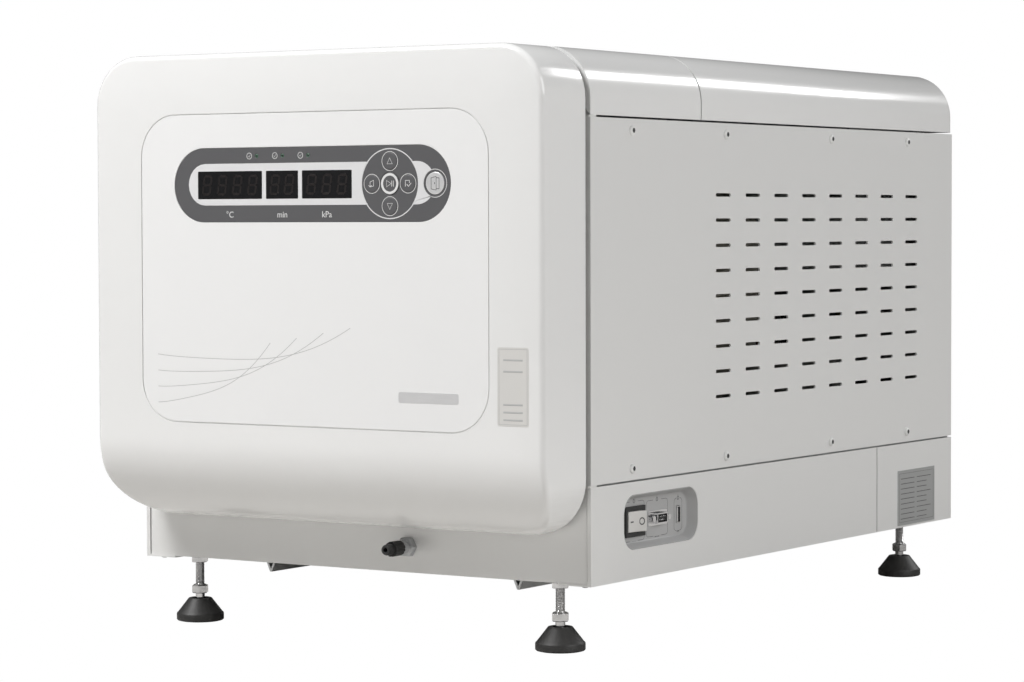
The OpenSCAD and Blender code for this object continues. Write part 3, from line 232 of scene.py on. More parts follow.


# Main tone, drifting tone, edge tone (edge wear and painted edge highlight), roughness, pattern scale, bump
# depth, edge radius
finishLooks = {
    "whitePaint": look((0.83, 0.83, 0.82), (0.8, 0.8, 0.79), (0.9, 0.9, 0.89), (0.34, 0.4), 900, 0.03, 0.6),
    "doorWhite": look((0.86, 0.86, 0.855), (0.84, 0.84, 0.835), (0.9, 0.9, 0.89), (0.17, 0.22), 500, 0.01,
        0.4, coat=0.35),
    "inlayWhite": look(0.86, 0.85, 0.88, (0.4, 0.43), 1400, 0.005, 0.3),
    "coverWhite": look((0.85, 0.85, 0.845), (0.83, 0.83, 0.825), (0.9, 0.9, 0.89), (0.18, 0.24), 600, 0.01,
        0.6, coat=0.4),
    "framePaint": look((0.78, 0.78, 0.77), (0.74, 0.74, 0.73), 0.6, (0.38, 0.46), 900, 0.03, 0.5),
    "zincSheet": look((0.55, 0.56, 0.57), (0.66, 0.67, 0.68), 0.8, (0.28, 0.46), 130, 0.01, 0.4,
        surface="spangle", metal=1),
    "brightSteel": look((0.72, 0.72, 0.73), (0.6, 0.6, 0.61), 0.9, (0.1, 0.22), 300, 0.01, 0.3,
        surface="turned", metal=1),
    "chamberSteel": look((0.62, 0.63, 0.64), (0.72, 0.73, 0.74), 0.85, (0.2, 0.34), 60, 0.02, 0.5,
        surface="brushed", metal=1, stretch=(12, 1, 12)),
    "plateMetal": look((0.74, 0.74, 0.75), (0.79, 0.79, 0.8), 0.85, (0.34, 0.44), 80, 0.01, 0.2,
        surface="brushed", metal=0.25, stretch=(1, 1, 14)),
    "greyPlastic": look(0.46, 0.43, 0.6, (0.42, 0.5), 1600, 0.03, 0.6),
    "keypadGrey": look((0.115, 0.115, 0.12), (0.105, 0.105, 0.11), 0.2, (0.34, 0.42), 2400, 0.01, 0.2),
    "keypadPale": look((0.76, 0.76, 0.77), (0.73, 0.73, 0.74), 0.8, (0.34, 0.42), 2400, 0.01, 0.2),
    "printWhite": look(0.8, 0.74, 0.85, (0.4, 0.5), 2500, 0.01, 0.1),
    "printGrey": look(0.5, 0.46, 0.5, (0.4, 0.5), 2500, 0.01, 0.1),
    "printDark": look((0.06, 0.06, 0.065), (0.08, 0.08, 0.085), 0.1, (0.4, 0.5), 2500, 0.01, 0.1),
    "displayGlass": look((0.008, 0.008, 0.009), (0.012, 0.012, 0.013), 0.03, (0.08, 0.14), 400, 0.005, 0.2,
        coat=0.6),
    "segmentGrey": look((0.015, 0.012, 0.012), (0.018, 0.014, 0.014), 0.03, (0.3, 0.38), 2500, 0.01, 0.1),
    "silverKey": look((0.72, 0.72, 0.73), (0.76, 0.76, 0.77), 0.9, (0.3, 0.38), 90, 0.005, 0.4,
        surface="brushed", metal=0.35, stretch=(1, 1, 6)),
    "blackPlastic": look((0.02, 0.02, 0.021), (0.028, 0.028, 0.029), 0.08, (0.36, 0.48), 1500, 0.04, 0.6),
    "footRubber": look(0.022, (0.032, 0.031, 0.03), 0.06, (0.42, 0.56), 1200, 0.05, 0.6),
    "rockerWhite": look((0.7, 0.69, 0.67), (0.66, 0.65, 0.63), (0.78, 0.78, 0.77), (0.32, 0.4), 1500, 0.02,
        0.5),
    "jacketWool": look((0.66, 0.63, 0.55), (0.78, 0.76, 0.7), (0.8, 0.78, 0.72), (0.9, 0.98), 420, 0.8, 2,
        surface="felt", sheen=0.4),
    "castMetal": look((0.46, 0.47, 0.48), (0.54, 0.55, 0.56), 0.7, (0.42, 0.58), 900, 0.1, 1.2, metal=0.9),
    "finMetal": look((0.66, 0.67, 0.68), (0.74, 0.75, 0.76), 0.85, (0.26, 0.4), 90, 0.01, 0.3,
        surface="brushed", metal=1, stretch=(1, 1, 8)),
    "tankPlastic": look((0.72, 0.75, 0.76), (0.66, 0.7, 0.71), (0.82, 0.84, 0.85), (0.3, 0.42), 700, 0.04, 3,
        translucent=0.25),
    "brassFitting": look((0.62, 0.46, 0.2), (0.52, 0.37, 0.16), (0.82, 0.68, 0.4), (0.2, 0.34), 260, 0.02,
        0.4, surface="turned", metal=1, stretch=(0, 1, 0), turn=(0, 0, math.pi / 2)),
    "copperTube": look((0.62, 0.34, 0.22), (0.48, 0.25, 0.17), (0.8, 0.5, 0.36), (0.22, 0.4), 90, 0.02, 0.5,
        surface="brushed", metal=1),
    "boardGreen": look((0.02, 0.12, 0.06), (0.05, 0.22, 0.11), (0.3, 0.3, 0.2), (0.3, 0.45), 160, 0.04, 0.2,
        surface="tracks", turn=(0, math.pi / 2, 0)),
    "silicone": look((0.56, 0.24, 0.17), (0.62, 0.29, 0.21), (0.66, 0.36, 0.28), (0.44, 0.54), 800, 0.03,
        0.6),
}


def makeFinish(name, values):
    material = bpy.data.materials.new(name)
    material.use_nodes = True
    tree = material.node_tree
    tree.nodes.clear()
    output = tree.nodes.new("ShaderNodeOutputMaterial")
    shader = tree.nodes.new("ShaderNodeBsdfPrincipled")
    wire(tree, shader.outputs["BSDF"], output.inputs["Surface"])
    coords = tree.nodes.new("ShaderNodeTexCoord")
    mapping = tree.nodes.new("ShaderNodeMapping")
    mapping.inputs["Scale"].default_value = values.get("stretch", (1, 1, 1))
    mapping.inputs["Rotation"].default_value = values.get("turn", (0, 0, 0))
    wire(tree, coords.outputs["Object"], mapping.inputs["Vector"])
    surface = tree.nodes.new("ShaderNodeGroup")
    surface.node_tree = surfaceGroups[values.get("surface", "peel")]
    surface.inputs["Scale"].default_value = values["scale"]
    wire(tree, mapping.outputs["Vector"], surface.inputs["Vector"])
    edges = tree.nodes.new("ShaderNodeGroup")
    edges.node_tree = rubbedEdges
    edges.inputs["Radius"].default_value = values["radius"]
    edges.inputs["Gain"].default_value = 2.0
    wire(tree, coords.outputs["Object"], edges.inputs["Vector"])
    tones = mixColour(tree, surface.outputs["Mask"], values["tone"], values["drift"])
    # Corners take the edge tone: partly edge wear, partly a painted edge highlight
    wornAndHighlit = mixColour(tree, edges.outputs["Mask"], tones, values["rub"])
    wire(tree, wornAndHighlit, shader.inputs["Base Color"])
    low, high = values["rough"]
    wire(tree, rangeNode(tree, surface.outputs["Mask"], 0.0, 1.0, low, high), shader.inputs["Roughness"])
    bump = tree.nodes.new("ShaderNodeBump")
    bump.inputs["Strength"].default_value = 1.0
    bump.inputs["Distance"].default_value = values["depth"]
    wire(tree, surface.outputs["Height"], bump.inputs["Height"])
    wire(tree, edges.outputs["Normal"], bump.inputs["Normal"])
    wire(tree, bump.outputs["Normal"], shader.inputs["Normal"])
    shader.inputs["Coat Roughness"].default_value = 0.08
    shader.inputs["Subsurface Scale"].default_value = 0.004
    weights = {"Metallic": "metal", "Coat Weight": "coat", "Sheen Weight": "sheen",
        "Subsurface Weight": "translucent"}
    for label, key in weights.items():
        shader.inputs[label].default_value = values.get(key, 0.0)
    return material


def mixColour(tree, factor, first, second):
    node = tree.nodes.new("ShaderNodeMix")
    node.data_type = "RGBA"
    wire(tree, factor, node.inputs[0])
    for socket, value in ((node.inputs[6], first), (node.inputs[7], second)):
        if isinstance(value, tuple):
            socket.default_value = (*value, 1)
        else:
            wire(tree, value, socket)
    return node.outputs[2]


finishes = {name: makeFinish(name, values) for name, values in finishLooks.items()}
print("finishes made:", len(finishes))

# Shapes

sideTurns = {  # which way a drawn shape's right, up and outward point
    "front": ((1, 0, 0), (0, 0, 1), (0, -1, 0)),
    "right": ((0, 1, 0), (0, 0, 1), (1, 0, 0)),
    "back": ((-1, 0, 0), (0, 0, 1), (0, 1, 0)),
    "left": ((0, -1, 0), (0, 0, 1), (-1, 0, 0)),
    "up": ((1, 0, 0), (0, 1, 0), (0, 0, 1)),
    "down": ((1, 0, 0), (0, -1, 0), (0, 0, -1)),
}


def facing(side, x, y, z):
    return Matrix.Translation((x, y, z)) @ Matrix(sideTurns[side]).transposed().to_4x4()


def pull(part, faces, move):
    # Extrudes the faces and moves their new end
    made = bmesh.ops.extrude_face_region(part, geom=faces)["geom"]
    bmesh.ops.translate(part, vec=move, verts=[g for g in made if isinstance(g, bmesh.types.BMVert)])


def roundOff(part, geom, offset, segments, clamp=True, affect="EDGES"):
    bmesh.ops.bevel(part, geom=geom, offset=offset, segments=segments, profile=0.5, affect=affect,
        clamp_overlap=clamp, material=-1)


def outlineEdges(bm, shape):
    # A circle has a radius, and a rounded rectangle has w, h, r and perhaps low
    at = Matrix.Translation((shape.get("x", 0), shape.get("y", 0), 0))
    before = set(bm.verts)
    if "points" in shape:
        corners = [bm.verts.new((x, y, 0)) for x, y in shape["points"]]
        return [bm.edges.new(pair) for pair in zip(corners, corners[1:] + corners[:1])]
    if "radius" in shape:
        bmesh.ops.create_circle(bm, segments=shape.get("steps", 32), radius=shape["radius"], matrix=at)
    else:
        quad = at @ Matrix.Diagonal((shape["w"], shape["h"], 1, 1))
        corners = bmesh.ops.create_grid(bm, x_segments=1, y_segments=1, size=0.5, matrix=quad)["verts"]
        upper = [v for v in corners if v.co.y > at.translation.y]
        lower = [v for v in corners if v.co.y < at.translation.y]
        radius = shape.get("r", 0)
        for group, bend in ((upper, radius), (lower, shape.get("low", radius))):
            if bend:
                roundOff(bm, group, bend, shape.get("steps", 8), False, "VERTICES")
        face = next(f for f in bm.faces if not before & set(f.verts))
        bm.faces.remove(face)
    return [e for e in bm.edges if not (before & set(e.verts))]


def flatSheet(bm, shape, holes=()):
    # One flat face, or triangles round the holes, facing +Z
    edges = outlineEdges(bm, shape)
    if not holes:
        face = bmesh.ops.contextual_create(bm, geom=edges)["faces"][0]
        if face.normal.z < 0:
            face.normal_flip()
        return [face]
    for hole in holes:
        edges = edges + outlineEdges(bm, hole)
    made = bmesh.ops.triangle_fill(bm, use_beauty=True, edges=edges, normal=(0, 0, 1))["geom"]
    faces = [g for g in made if isinstance(g, bmesh.types.BMFace)]
    for face in faces:
        face.normal_update()
        if face.normal.z < 0:
            face.normal_flip()
    return faces


def addShape(bm, place, draw, closed=True):
    # Draws in a bmesh of its own and joins it on to bm; an open skin already faces its own way
    part = bmesh.new()
    draw(part)
    if closed:
        bmesh.ops.recalc_face_normals(part, faces=part.faces)
    bmesh.ops.transform(part, matrix=place, verts=part.verts)
    mesh = bpy.data.meshes.new("part")
    part.to_mesh(mesh)
    part.free()
    bm.from_mesh(mesh)
    bpy.data.meshes.remove(mesh)


def slab(bm, place, shape, holes=(), thick=1.0, rim=0.0, steps=1):
    # A plate whose outer face is at the place, with its rim and hole edges softened
    def draw(part):
        faces = flatSheet(part, shape, holes)
        pull(part, faces, (0, 0, -thick))
        bmesh.ops.recalc_face_normals(part, faces=part.faces)
        top = [f for f in part.faces if all(abs(v.co.z) < 1e-5 for v in f.verts)]
        if rim and holes:
            bmesh.ops.inset_region(part, faces=top, use_boundary=True, use_even_offset=True, thickness=rim,
                depth=0)
            inner = set(v for f in part.faces if f in set(top) for v in f.verts)
            for v in part.verts:
                if abs(v.co.z) < 1e-5 and v not in inner:
                    v.co.z = -rim
        elif rim:
            roundOff(part, list(top[0].edges), rim, steps)

    addShape(bm, place, draw)


def lathe(bm, place, profile, steps=40):
    # profile is a list of (radius, height), turned round the place's outward axis
    def draw(part):
        line = [part.verts.new((radius, 0, height)) for radius, height in profile]
        rib = [part.edges.new(pair) for pair in zip(line, line[1:])]
        bmesh.ops.spin(part, geom=line + rib, cent=(0, 0, 0), axis=(0, 0, 1), angle=math.tau, steps=steps,
            use_merge=True, use_duplicate=False)
        bmesh.ops.remove_doubles(part, verts=part.verts, dist=1e-4)

    addShape(bm, place, draw)


def rod(bm, place, radius, length, rim=0.3, steps=32):
    # A turned bar that runs back from the place
    lathe(bm, place, [(0, 0), (radius - rim, 0), (radius, -rim), (radius, rim - length),
        (radius - rim, -length), (0, -length)], steps)


def block(bm, low, high, rim=0.4, steps=2):
    size = Vector(high) - Vector(low)
    centre = (Vector(high) + Vector(low)) / 2

    def draw(part):
        bmesh.ops.create_cube(part, size=1, matrix=Matrix.Diagonal((*size, 1)))
        if rim:
            roundOff(part, list(part.edges), rim, steps)

    addShape(bm, Matrix.Translation(centre), draw)


def stroke(bm, place, points, width, closed=False, proud=0.06):
    # A printed line: a round bead flattened to a film
    curve = bpy.data.curves.new("stroke", "CURVE")
    curve.dimensions = "3D"
    curve.bevel_depth = width / 2
    curve.bevel_resolution = 1
    curve.use_fill_caps = True
    spline = curve.splines.new("POLY")
    spline.points.add(len(points) - 1)
    for knot, point in zip(spline.points, points):
        knot.co = (point[0], point[1], 0, 1)
    spline.use_cyclic_u = closed
    addCurve(bm, place, curve, Matrix.Diagonal((1, 1, 2 * proud / width, 1)))


def addCurve(bm, place, curve, squeeze):
    holder = bpy.data.objects.new(curve.name, curve)
    mesh = bpy.data.meshes.new_from_object(holder)
    mesh.transform(place @ squeeze)
    bm.from_mesh(mesh)
    bpy.data.objects.remove(holder)
    bpy.data.curves.remove(curve)
    bpy.data.meshes.remove(mesh)


def label(bm, place, words, height, proud=0.06):
    text = bpy.data.curves.new("label", "FONT")
    text.body = words
    text.size = height
    text.extrude = proud
    text.align_x = "CENTER"
    text.align_y = "CENTER"
    text.resolution_u = 3
    addCurve(bm, place, text, Matrix.Identity(4))


def ring(bm, place, x, y, radius, width, proud=0.06, steps=40):
    hole = {"x": x, "y": y, "radius": radius - width, "steps": steps}
    slab(bm, place @ Matrix.Translation((0, 0, proud)), {"x": x, "y": y, "radius": radius, "steps": steps},
        [hole], 2 * proud)


def slotFinish(slotName):
    # A finish has its slot's name in camel case, but white plastic takes the covers' finish
    first, *rest = slotName.split("_")
    name = first + "".join(word.title() for word in rest)
    return "coverWhite" if name == "whitePlastic" else name


def finishPiece(bm, name, body, slotName, finish=None, standsFor=(), smoothBelow=35):
    bmesh.ops.remove_doubles(bm, verts=bm.verts, dist=1e-5)
    bmesh.ops.scale(bm, vec=(mm, mm, mm), verts=bm.verts)
    mesh = bpy.data.meshes.new(name)
    bm.to_mesh(mesh)
    bm.free()
    mesh.shade_smooth()
    mesh.set_sharp_from_angle(angle=math.radians(smoothBelow))
    piece = bpy.data.objects.new(name, mesh)
    scene.collection.objects.link(piece)
    mesh.materials.append(finishes[finish or slotFinish(slotName)])
    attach(piece, body)
    if standsFor:
        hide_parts(*standsFor)
    return piece


def thicken(piece, millimetres, smoothBelow=30):
    # Gives an open skin its wall, then marks the wall's own rim as a sharp edge
    wall = piece.modifiers.new("wall", "SOLIDIFY")
    wall.thickness = millimetres * mm
    wall.offset = -1
    wall.use_even_offset = True
    solid = bpy.data.meshes.new_from_object(piece.evaluated_get(bpy.context.evaluated_depsgraph_get()))
    piece.modifiers.clear()
    piece.data = solid
    solid.name = piece.name
    solid.set_sharp_from_angle(angle=math.radians(smoothBelow))


def arcPoints(x, y, radius, start, end, steps=12):
    turns = [math.radians(start + (end - start) * i / steps) for i in range(steps + 1)]
    return [(x + radius * math.cos(t), y + radius * math.sin(t)) for t in turns]


def frameCorners(x, y):
    return [(-x, -y), (x, -y), (x, y), (-x, y)]


# Door

doorShape = {
    "topRadius": 42, "lowRadius": 45, "fillet": 5, "filletSteps": 5, "wall": 2.5,
    "chinRadius": 75, "chinTop": 166, "chinCuts": 14,
    "inlayWide": 350, "inlayHigh": 257.3, "inlayRadius": 36, "inlayDrop": 50, "inlaySet": 0.8,
    "keypadLip": 3, "keypadDeep": 2.3, "setBack": 0.1, "rimShort": 0.3,
}
doorWide = doorHigh.x - doorLow.x
doorTall = doorHigh.z - doorLow.z
doorMiddle = (doorLow.z + doorHigh.z) / 2
inlayMiddle = doorHigh.z - doorShape["inlayDrop"] - doorShape["inlayHigh"] / 2
keypadWide = keypadHigh.x - keypadLow.x
keypadTall = keypadHigh.z - keypadLow.z
keypadUp = keypadZ - doorMiddle


def inlayOutline(inset):
    return {"x": 0, "y": inlayMiddle - doorMiddle, "w": doorShape["inlayWide"] - 2 * inset,
        "h": doorShape["inlayHigh"] - 2 * inset, "r": doorShape["inlayRadius"] - inset, "steps": 12}


def keypadOutline(inset):
    return {"x": 0, "y": keypadUp, "w": keypadWide - 2 * inset, "h": keypadTall - 2 * inset,
        "r": keypadTall / 2 - inset - 0.02, "steps": 16}


def sinkEdges(part, edges, depth):
    made = bmesh.ops.extrude_edge_only(part, edges=edges)["geom"]
    verts = [g for g in made if isinstance(g, bmesh.types.BMVert)]
    bmesh.ops.translate(part, vec=(0, 0, -depth), verts=verts)
    return [g for g in made if isinstance(g, bmesh.types.BMEdge) and len(g.link_faces) == 1]


def drawDoor(part):
    shape = doorShape
    face = flatSheet(part, {"w": doorWide, "h": doorTall, "r": shape["topRadius"],
        "low": shape["lowRadius"], "steps": 12})
    pull(part, face, (0, 0, faceY + shape["setBack"] + shape["rimShort"] - doorHigh.y))
    bmesh.ops.recalc_face_normals(part, faces=part.faces)
    front = next(f for f in part.faces if all(abs(v.co.z) < 1e-5 for v in f.verts))
    roundOff(part, list(front.edges), shape["fillet"], shape["filletSteps"], False)
    front = next(f for f in part.faces if len(f.verts) > 8 and all(abs(v.co.z) < 1e-5 for v in f.verts))
    rear = next(f for f in part.faces if len(f.verts) > 8 and all(v.co.z < -1 for v in f.verts))
    outer = list(front.edges)
    bmesh.ops.delete(part, geom=[front, rear], context="FACES_ONLY")
    inner = outlineEdges(part, inlayOutline(0))
    fillBetween(part, outer + inner)
    floor = sinkEdges(part, inner, shape["inlaySet"])
    pocket = outlineEdges(part, keypadOutline(-0.3))
    bmesh.ops.translate(part, vec=(0, 0, -shape["inlaySet"]),
        verts=list({v for e in pocket for v in e.verts}))
    fillBetween(part, floor + pocket)
    ledge = sinkEdges(part, pocket, shape["keypadDeep"] - shape["inlaySet"])
    hole = outlineEdges(part, keypadOutline(shape["keypadLip"]))
    bmesh.ops.translate(part, vec=(0, 0, -shape["keypadDeep"]),
        verts=list({v for e in hole for v in e.verts}))
    fillBetween(part, ledge + hole)
    bmesh.ops.recalc_face_normals(part, faces=part.faces)
    top = [f for f in part.faces if all(abs(v.co.z) < 1e-5 for v in f.verts)]
    if sum(f.normal.z for f in top) < 0:
        bmesh.ops.reverse_faces(part, faces=part.faces)
    curlChin(part)


def fillBetween(part, edges):
    bmesh.ops.triangle_fill(part, use_beauty=True, edges=edges, normal=(0, 0, 1))


def curlChin(part):
    # Cuts the front across, then rolls it back under the door on one radius
    shape = doorShape
    top = shape["chinTop"] - doorMiddle
    reach = shape["chinTop"] - doorLow.z
    last = math.asin(reach / shape["chinRadius"])
    for i in range(shape["chinCuts"]):
        height = top - shape["chinRadius"] * math.sin(last * i / shape["chinCuts"])
        bmesh.ops.bisect_plane(part, geom=list(part.verts) + list(part.edges) + list(part.faces), dist=1e-4,
            plane_co=(0, height, 0), plane_no=(0, 1, 0))
    for v in part.verts:
        drop = top - v.co.y
        if drop > 0 and v.co.z > -shape["fillet"] - 0.01:
            v.co.z -= shape["chinRadius"] - math.sqrt(shape["chinRadius"] ** 2 - drop ** 2)


bm = bmesh.new()
addShape(bm, facing("front", 0, faceY + doorShape["setBack"], doorMiddle), drawDoor, closed=False)
thicken(finishPiece(bm, "doorShell", "door", "white_plastic", "doorWhite", ["door_shell"], 30),
    doorShape["wall"])

bm = bmesh.new()
inlayFace = facing("front", 0, faceY + 0.15, doorMiddle)
slab(bm, inlayFace, inlayOutline(0.7), [keypadOutline(-0.15)], 0.6, 0.2)
finishPiece(bm, "doorInlay", "door", "white_plastic", "inlayWhite")
print("door done")

# Decoration on the inlay: plain waves and a blank badge
artShape = {
    "line": 0.5, "waves": 4, "left": -158, "right": -40, "low": 196, "rise": 52, "gap": 9,
    "badge": {"w": 58, "h": 9, "r": 2}, "badgeX": 117, "badgeZ": 207,
}


def wavePoints(lift, steps=40):
    points = []
    for i in range(steps + 1):
        t = i / steps
        x = artShape["left"] + (artShape["right"] - artShape["left"] + 3 * lift) * t
        rise = artShape["rise"] * (t ** 1.6) * (1 - 0.35 * math.sin(math.pi * t)) + 0.5 * lift
        points.append((x, artShape["low"] + lift * (1 - t) + rise - doorMiddle))
    return points


bm = bmesh.new()
for wave in range(artShape["waves"]):
    stroke(bm, inlayFace, wavePoints(artShape["gap"] * wave), artShape["line"], proud=0.04)
finishPiece(bm, "inlayWaves", "door", "white_plastic", "printGrey")

bm = bmesh.new()
slab(bm, facing("front", artShape["badgeX"], faceY + 0.06, artShape["badgeZ"]), artShape["badge"], [], 0.3,
    0.1)
finishPiece(bm, "inlayBadge", "door", "bright_steel", "silverKey")

# A plain label with ruled bars and no sign on it
labelShape = {"x": 197, "z": 218, "w": 29, "h": 62, "bars": (21, 12, -14, -20, -26)}
bm = bmesh.new()
slab(bm, facing("front", labelShape["x"], faceY + 0.03, labelShape["z"]),
    {"w": labelShape["w"], "h": labelShape["h"], "r": 2}, [], 0.08)
finishPiece(bm, "blankLabel", "door", "white_plastic", "rockerWhite")
bm = bmesh.new()
labelFace = facing("front", labelShape["x"], faceY + 0.03, labelShape["z"])
edgeX, edgeZ = labelShape["w"] / 2 - 1.5, labelShape["h"] / 2 - 1.5
stroke(bm, labelFace, frameCorners(edgeX, edgeZ), 0.5, closed=True, proud=0.02)
for up in labelShape["bars"]:
    stroke(bm, labelFace, [(4 - edgeX, up), (edgeX - 4, up)], 1.4, proud=0.02)
finishPiece(bm, "labelBars", "door", "white_plastic", "printGrey")

# Keypad

keypadShape = {
    "thick": 2, "rim": 0.3, "dialX": 80.4, "dialRadius": 27.5,
    "stripeWide": 248, "stripeTall": 34.5, "stripeUp": 0.5,
    "windows": ((-114.3, -47.6, 4), (-43.5, -10.8, 2), (-6.8, 43, 3)), "windowTall": 23,
    "lamps": (-53.2, -26.9, -0.9), "lampUp": 23.8, "lampRadius": 1.4,
    "units": ((-81, "°C"), (-27, "min"), (18, "kPa")), "unitsDown": -24.6,
}
keyPlaces = {
    "key_up": (80.4, 18, 7), "key_down": (80.4, -18, 7), "key_left": (62.8, 0, 7),
    "key_right": (98, 0, 7), "key_start": (80.4, 0, 9), "key_door": (124, 0, 9),
}


def keypadAt(proud):
    # proud is how far in front of the bezel's face
    return facing("front", 0, keypadLow.y - proud, keypadZ)


keyHoles = [{"x": x, "y": y, "radius": radius + 0.3, "steps": 40} for x, y, radius in keyPlaces.values()]
lampHoles = [{"x": x, "y": keypadShape["lampUp"], "radius": keypadShape["lampRadius"] + 0.2, "steps": 20}
    for x in keypadShape["lamps"]]
bm = bmesh.new()
slab(bm, keypadAt(0), {"w": keypadWide, "h": keypadTall, "r": keypadTall / 2 - 0.02, "steps": 20},
    keyHoles + lampHoles, keypadShape["thick"], keypadShape["rim"])
finishPiece(bm, "keypadBody", "door", "keypad_grey", "keypadGrey", ["keypad_bezel"])


def stripePoints():
    # The pale stripe stops at the dial, and gives way to the ring round the door key
    half = keypadShape["stripeTall"] / 2
    up = keypadShape["stripeUp"]
    end = keypadShape["stripeWide"] / 2 - half
    dial = keypadShape["dialRadius"] - 0.2
    low = math.degrees(math.asin((half - up) / dial))
    high = math.degrees(math.asin((half + up) / dial))
    left = arcPoints(-end, up, half, 90, 270) + arcPoints(keypadShape["dialX"], 0, dial, 180 + low,
        180 - high)
    right = arcPoints(end, up, half, 90, 37.2, 6) + arcPoints(keyPlaces["key_door"][0], 0, 11, 108.6, 251.4)
    right += arcPoints(end, up, half, -37.2, -90, 6) + arcPoints(keypadShape["dialX"], 0, dial, -low, high)
    return left, right


bm = bmesh.new()
for points in stripePoints():
    slab(bm, keypadAt(0.12), {"points": points}, [], 0.2)
finishPiece(bm, "keypadStripe", "door", "keypad_grey", "keypadPale")


def segmentOutline(part, x, y, length, width, upright):
    # One bar of a digit, pointed at both ends
    half, thin = length / 2, width / 2
    points = [(-half, 0), (-half + thin, thin), (half - thin, thin), (half, 0), (half - thin, -thin),
        (-half + thin, -thin)]
    if upright:
        points = [(-b, a) for a, b in points]
    face = part.faces.new([part.verts.new((x + a + 0.14 * (y + b), y + b, 0)) for a, b in points])
    return face


def digitBars(part, x, tall):
    half, bar = tall / 2, tall * 0.12
    wide = tall * 0.5
    bars = [(0, half, 0), (0, 0, 0), (0, -half, 0), (-wide / 2, half / 2, 1), (wide / 2, half / 2, 1),
        (-wide / 2, -half / 2, 1), (wide / 2, -half / 2, 1)]
    faces = []
    for across, up, upright in bars:
        length = (half if upright else wide) - 0.5
        faces.append(segmentOutline(part, x + across, up, length, bar, upright))
    return faces


def drawDigits(part):
    faces = []
    for left, right, count in keypadShape["windows"]:
        pitch = (right - left - 4) / count
        for i in range(count):
            faces += digitBars(part, left + 2 + pitch * (i + 0.5), 15)
    pull(part, faces, (0, 0, 0.05))


bm = bmesh.new()
for left, right, count in keypadShape["windows"]:
    slab(bm, keypadAt(0.2), {"x": (left + right) / 2, "w": right - left, "h": keypadShape["windowTall"],
        "r": 0.8, "steps": 3}, [], 0.25, 0.05)
finishPiece(bm, "displayWindows", "door", "keypad_grey", "displayGlass")
bm = bmesh.new()
addShape(bm, keypadAt(0.19), drawDigits)
finishPiece(bm, "displayDigits", "door", "keypad_grey", "segmentGrey")

bm = bmesh.new()
for x, words in keypadShape["units"]:
    label(bm, keypadAt(0.02) @ Matrix.Translation((x, keypadShape["unitsDown"], 0)), words, 7.2, 0.05)
for x in keypadShape["lamps"]:
    at = keypadAt(0.02)
    up = keypadShape["lampUp"]
    ring(bm, at, x - 7.5, up, 2.7, 0.45, 0.05, 24)
    stroke(bm, at, [(x - 8.6, up), (x - 7.7, up - 1), (x - 6.4, up + 1)], 0.4, proud=0.05)
for x, y, radius in list(keyPlaces.values())[:4]:
    ring(bm, keypadAt(0.02), x, y, radius + 0.9, 0.5, 0.05, 48)
ring(bm, keypadAt(0.02), keyPlaces["key_door"][0], 0, 11.4, 0.5, 0.05, 56)
finishPiece(bm, "keypadPrint", "door", "keypad_grey", "printWhite")

bm = bmesh.new()
for x in keypadShape["lamps"]:
    lathe(bm, keypadAt(-0.1) @ Matrix.Translation((x, keypadShape["lampUp"], 0)),
        [(0, 0.25), (0.7, 0.15), (1.2, -0.2), (1.2, -1.5), (0, -1.5)], 16)
finishPiece(bm, "keypadLamps", "door", "keypad_grey", "displayGlass")

bm = bmesh.new()
ring(bm, keypadAt(0.11), keypadShape["dialX"], 0, keypadShape["dialRadius"] + 0.9, 0.9, 0.05, 72)
finishPiece(bm, "dialRing", "door", "keypad_grey", "keypadPale")


# Each icon is a few lines, and True closes a line
keyIcons = {
    "key_up": [([(-2.6, -2.2), (0, 2.6), (2.6, -2.2)], True)],
    "key_down": [([(-2.6, 2.2), (0, -2.6), (2.6, 2.2)], True)],
    "key_left": [([(-1.6, -2.6), (-1.6, 1.4), (1.8, 2.8), (1.8, -1.8)], True),
        ([(-3, -1.2), (-1.6, -2.6), (-0.2, -1.2)], False)],
    "key_right": [([(-2.4, -2.4), (-2.4, 2.4), (1.6, 2.4), (1.6, 0.4)], False),
        ([(-1, -0.6), (0.6, -2.4), (3.2, 0.4)], False)],
    "key_start": [([(-3, -2.6), (-3, 2.6), (1.2, 0)], True), ([(2, -2.4), (2, 2.4)], False),
        ([(3.6, -2.4), (3.6, 2.4)], False)],
    "key_door": [([(-3.6, -4.6), (-3.6, 4.2), (1.2, 5.4), (1.2, -5.4)], True),
        ([(1.2, 4.2), (4, 4.2), (4, -4.4), (1.2, -4.4)], False), ([(-0.3, -0.8), (-0.3, 0.8)], False)],
}
for name, (x, y, radius) in keyPlaces.items():
    top = facing("front", x, faceY, keypadZ + y)
    silver = name == "key_door"
    bm = bmesh.new()
    lathe(bm, top, [(0, -0.1), (radius - 1.4, -0.06), (radius - 0.5, -0.1), (radius - 0.12, -0.3),
        (radius, -0.7), (radius, -3), (2, -3), (2, -11), (0, -11)], 48)
    finishPiece(bm, name + "Cap", name, "bright_steel" if silver else "keypad_grey",
        "silverKey" if silver else "keypadGrey", [name])
    bm = bmesh.new()
    iconFace = top @ Matrix.Translation((0, 0, -0.06))
    for points, closed in keyIcons[name]:
        stroke(bm, iconFace, points, 0.6, closed=closed, proud=0.05)
    if name == "key_start":
        ring(bm, iconFace, 0, 0, 8.4, 2, 0.05, 48)
    finishPiece(bm, name + "Icon", name, "keypad_grey", "printDark" if silver else "printWhite")
print("keypad done")

# Covers

coverShape = {"radius": 41, "frontWall": 1.4, "lidWall": 3, "rearFillet": 7.5, "lip": 12}


